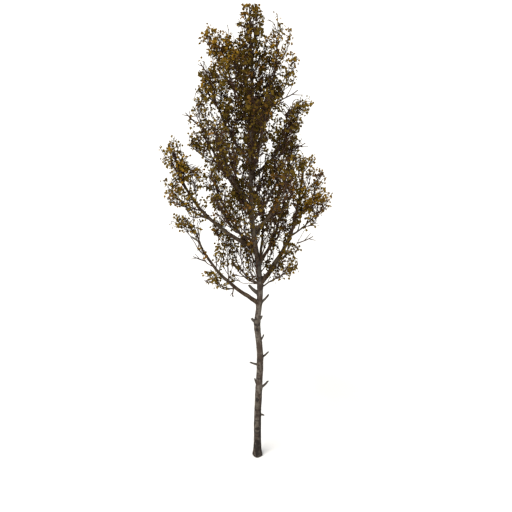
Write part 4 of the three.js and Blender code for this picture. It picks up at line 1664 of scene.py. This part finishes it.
FLOOR_HALF = 1200.0
SUN_WAY = (0.5, 0.62, -0.95)  # from the upper left, in front
SUN_COLOUR = (1.0, 0.97, 0.92)
AIM_X = -0.0528  # the crown leans a little toward -X
SENSOR_WIDTH = 36.0
FAR_CLIP = 3000.0


def linked(name, data):
    """A new object in the scene."""
    thing = bpy.data.objects.new(name, data)
    bpy.context.scene.collection.objects.link(thing)
    return thing


def make_floor(settings):
    """A wide level floor under the tree."""
    side = FLOOR_HALF
    corners = [(-side, -side, 0), (side, -side, 0), (side, side, 0), (-side, side, 0)]
    mesh = bpy.data.meshes.new("floor")
    mesh.from_pydata(corners, [], [(0, 1, 2, 3)])
    mesh.materials.append(floor_finish(settings.floor))
    linked("floor", mesh)


def make_lights(settings):
    """Even light from all round, and a broad sun."""
    world = bpy.data.worlds.new("even_light")
    world.use_nodes = True
    sky = world.node_tree.nodes["Background"]
    sky.inputs["Color"].default_value = (1.0, 1.0, 1.0, 1.0)
    sky.inputs["Strength"].default_value = settings.sky
    bpy.context.scene.world = world
    lamp = bpy.data.lights.new("key_light", "SUN")
    lamp.energy = settings.key
    lamp.angle = settings.softness
    lamp.color = SUN_COLOUR
    key = linked("key_light", lamp)
    key.rotation_euler = Vector(SUN_WAY).to_track_quat("-Z", "Y").to_euler()


def make_camera(settings):
    """The camera, in front of the tree and looking down at its middle."""
    camera_data = bpy.data.cameras.new("camera")
    camera_data.sensor_width = SENSOR_WIDTH
    camera_data.lens = settings.lens
    camera_data.clip_end = FAR_CLIP
    camera = linked("camera", camera_data)
    back = Vector((0.0, -math.cos(settings.elevation), math.sin(settings.elevation)))
    camera.location = Vector((AIM_X, 0.0, HEIGHT / 2)) + back * settings.distance
    camera.rotation_euler = (-back).to_track_quat("-Z", "Y").to_euler()
    bpy.context.scene.camera = camera


# ---- Operators ----

STUB_SEED, TWIG_SEED = 7, 19
MOST_TRIANGLES = 199_000  # in one piece of leaves


class POPLAR_OT_stem(bpy.types.Operator):
    """Make the stem's bark, from its flat cut to its tip."""

    bl_idname = "poplar.stem"
    bl_label = "Stem Bark"

    def execute(self, context):
        settings = context.scene.poplar_bark
        parts = Parts()
        parts.add(*stem_mesh(settings))
        piece = parts.piece("stem_bark", bark_finish("stem_bark", settings))
        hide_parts("trunk")
        return {"FINISHED"}


class POPLAR_OT_boughs(bpy.types.Operator):
    """Make the bark of the living boughs and their branches."""

    bl_idname = "poplar.boughs"
    bl_label = "Bough Bark"

    def execute(self, context):
        settings = context.scene.poplar_bark
        parts = Parts()
        for seed, limb in enumerate(limbs()):
            parts.add(*limb_mesh(limb, settings, seed))
        # shade=0.5: the boughs' bark is a darker copy of the stem's, as painted shade of the crown
        material = bark_finish("bough_bark", settings, warm=0.2, shade=0.5)
        piece = parts.piece("bough_bark", material)
        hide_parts(*nodes_named("bough_"))
        return {"FINISHED"}


class POPLAR_OT_stubs(bpy.types.Operator):
    """Make the broken stubs of dead boughs on the bare stem."""

    bl_idname = "poplar.stubs"
    bl_label = "Dead Stubs"

    def execute(self, context):
        random = np.random.default_rng(STUB_SEED)
        parts = Parts()
        for row in STUBS:
            parts.add(*broken_stub(row, random))
        settings = context.scene.poplar_bark
        material = bark_finish("dead_bark", settings, weathered=0.1, shade=0.6)
        piece = parts.piece("dead_stubs", material)
        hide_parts(*nodes_named("stub_"))
        return {"FINISHED"}


class POPLAR_OT_dead_twigs(bpy.types.Operator):
    """Make the bare dead twigs at the crown's edges."""

    bl_idname = "poplar.dead_twigs"
    bl_label = "Dead Twigs"

    def execute(self, context):
        random = np.random.default_rng(TWIG_SEED)
        parts = Parts()
        for row in DEAD_TWIGS:
            for tube in dead_twig(row, random):
                parts.add(*tube)
        material = twig_finish("dead_twig_bark", context.scene.poplar_shoots)
        piece = parts.piece("dead_twigs", material)
        return {"FINISHED"}


class POPLAR_OT_shoots(bpy.types.Operator):
    """Grow the shoots and twigs that fill the masses of leaves."""

    bl_idname = "poplar.shoots"
    bl_label = "Shoots and Twigs"

    def execute(self, context):
        wood, shape = crown(), crown_shape()
        numbers = np.flatnonzero(wood.kind[: wood.count] == SHOOT)
        thick = first_radii(wood, shape, numbers)[numbers] >= THICK_SHOOT
        material = twig_finish("twig_bark", context.scene.poplar_shoots)
        shoots = wood_tubes(wood, shape, numbers[thick], SHOOT_SIDES)
        twigs = wood_tubes(wood, shape, numbers[~thick], TWIG_SIDES)
        for name, tubes in (("shoots", shoots), ("twigs", twigs)):
            piece = make_piece(name, *tubes, [material])
        return {"FINISHED"}


class POPLAR_OT_leaves(bpy.types.Operator):
    """Hang the leaves on the shoots' ends, their autumn tints dealt out by spray."""

    bl_idname = "poplar.leaves"
    bl_label = "Leaves"

    def execute(self, context):
        settings = context.scene.poplar_leaves
        random = np.random.default_rng(settings.seed)
        wood, shape = crown(), crown_shape()
        joint, way, out, numbers = leaf_joints(wood, shape, settings, random)
        kept = leaf_kept(joint, out, wood.place[numbers], numbers, settings)
        joint, way, out, numbers = joint[kept], way[kept], out[kept], numbers[kept]
        places, faces = leaf_meshes(joint, way, out, settings, random)
        kinds, painted_shades = dealt_tints(wood, shape, numbers, random)
        slots = {row["node"]: row["material_slot"] for row in frame["record"]["subparts"]}
        most = MOST_TRIANGLES // len(faces)
        for kind, name in enumerate(TINTS):
            slot = f"leaf_{name}"
            own = [node for node in nodes_named("foliage_") if slots[node] == slot]
            materials = []
            # a lit copy of the tint and darker ones, as painted light and shade
            for i, light in enumerate(PAINTED_LIGHT_LEVELS[name]):
                colour = toned(getattr(settings, name), light)
                materials.append(leaf_finish(f"{slot}_{i + 1}", colour))
            chosen = np.flatnonzero(kinds == kind)
            runs = max(1, math.ceil(len(chosen) / most))
            for run, part in enumerate(np.array_split(chosen, runs)):
                first = (np.arange(len(part)) * places.shape[1])[:, None, None]
                piece = make_piece(
                    f"leaves_{name}_{run + 1}",
                    places[part].reshape(-1, 3),
                    (faces + first).reshape(-1, 3),
                    materials,
                    np.repeat(painted_shades[part], len(faces)),
                    smooth=False,
                )
                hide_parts(*own)
        return {"FINISHED"}


class POPLAR_OT_stage(bpy.types.Operator):
    """Set the floor, the lights and the camera."""

    bl_idname = "poplar.stage"
    bl_label = "Stage"

    def execute(self, context):
        settings = context.scene.poplar_stage
        make_floor(settings)
        make_lights(settings)
        make_camera(settings)
        context.scene.view_settings.view_transform = "Standard"
        return {"FINISHED"}


OPERATORS = (
    POPLAR_OT_stem,
    POPLAR_OT_boughs,
    POPLAR_OT_stubs,
    POPLAR_OT_dead_twigs,
    POPLAR_OT_shoots,
    POPLAR_OT_leaves,
    POPLAR_OT_stage,
)


class POPLAR_PT_tree(bpy.types.Panel):
    """The steps that make the poplar, in their order."""

    bl_idname = "POPLAR_PT_tree"
    bl_label = "Poplar"
    bl_space_type = "VIEW_3D"
    bl_region_type = "UI"
    bl_category = "Poplar"

    def draw(self, context):
        for operator in OPERATORS:
            self.layout.operator(operator.bl_idname)


SETTINGS = {
    "poplar_bark": PoplarBarkSettings,
    "poplar_shoots": PoplarShootSettings,
    "poplar_leaves": PoplarLeafSettings,
    "poplar_stage": PoplarStageSettings,
}
CLASSES = (*SETTINGS.values(), *OPERATORS, POPLAR_PT_tree)


def register():
    """Adds the classes, and each group of settings to the scene."""
    for cls in CLASSES:
        bpy.utils.register_class(cls)
    for name, group in SETTINGS.items():
        setattr(bpy.types.Scene, name, PointerProperty(type=group))


def unregister():
    """Takes away what register added."""
    for name in SETTINGS:
        delattr(bpy.types.Scene, name)
    for cls in reversed(CLASSES):
        bpy.utils.unregister_class(cls)


def main():
    """Makes the tree and its stage."""
    register()
    bpy.ops.poplar.stem()
    bpy.ops.poplar.boughs()
    bpy.ops.poplar.stubs()
    bpy.ops.poplar.dead_twigs()
    bpy.ops.poplar.shoots()
    bpy.ops.poplar.leaves()
    bpy.ops.poplar.stage()
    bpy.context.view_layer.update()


if __name__ == "__main__":
    main()
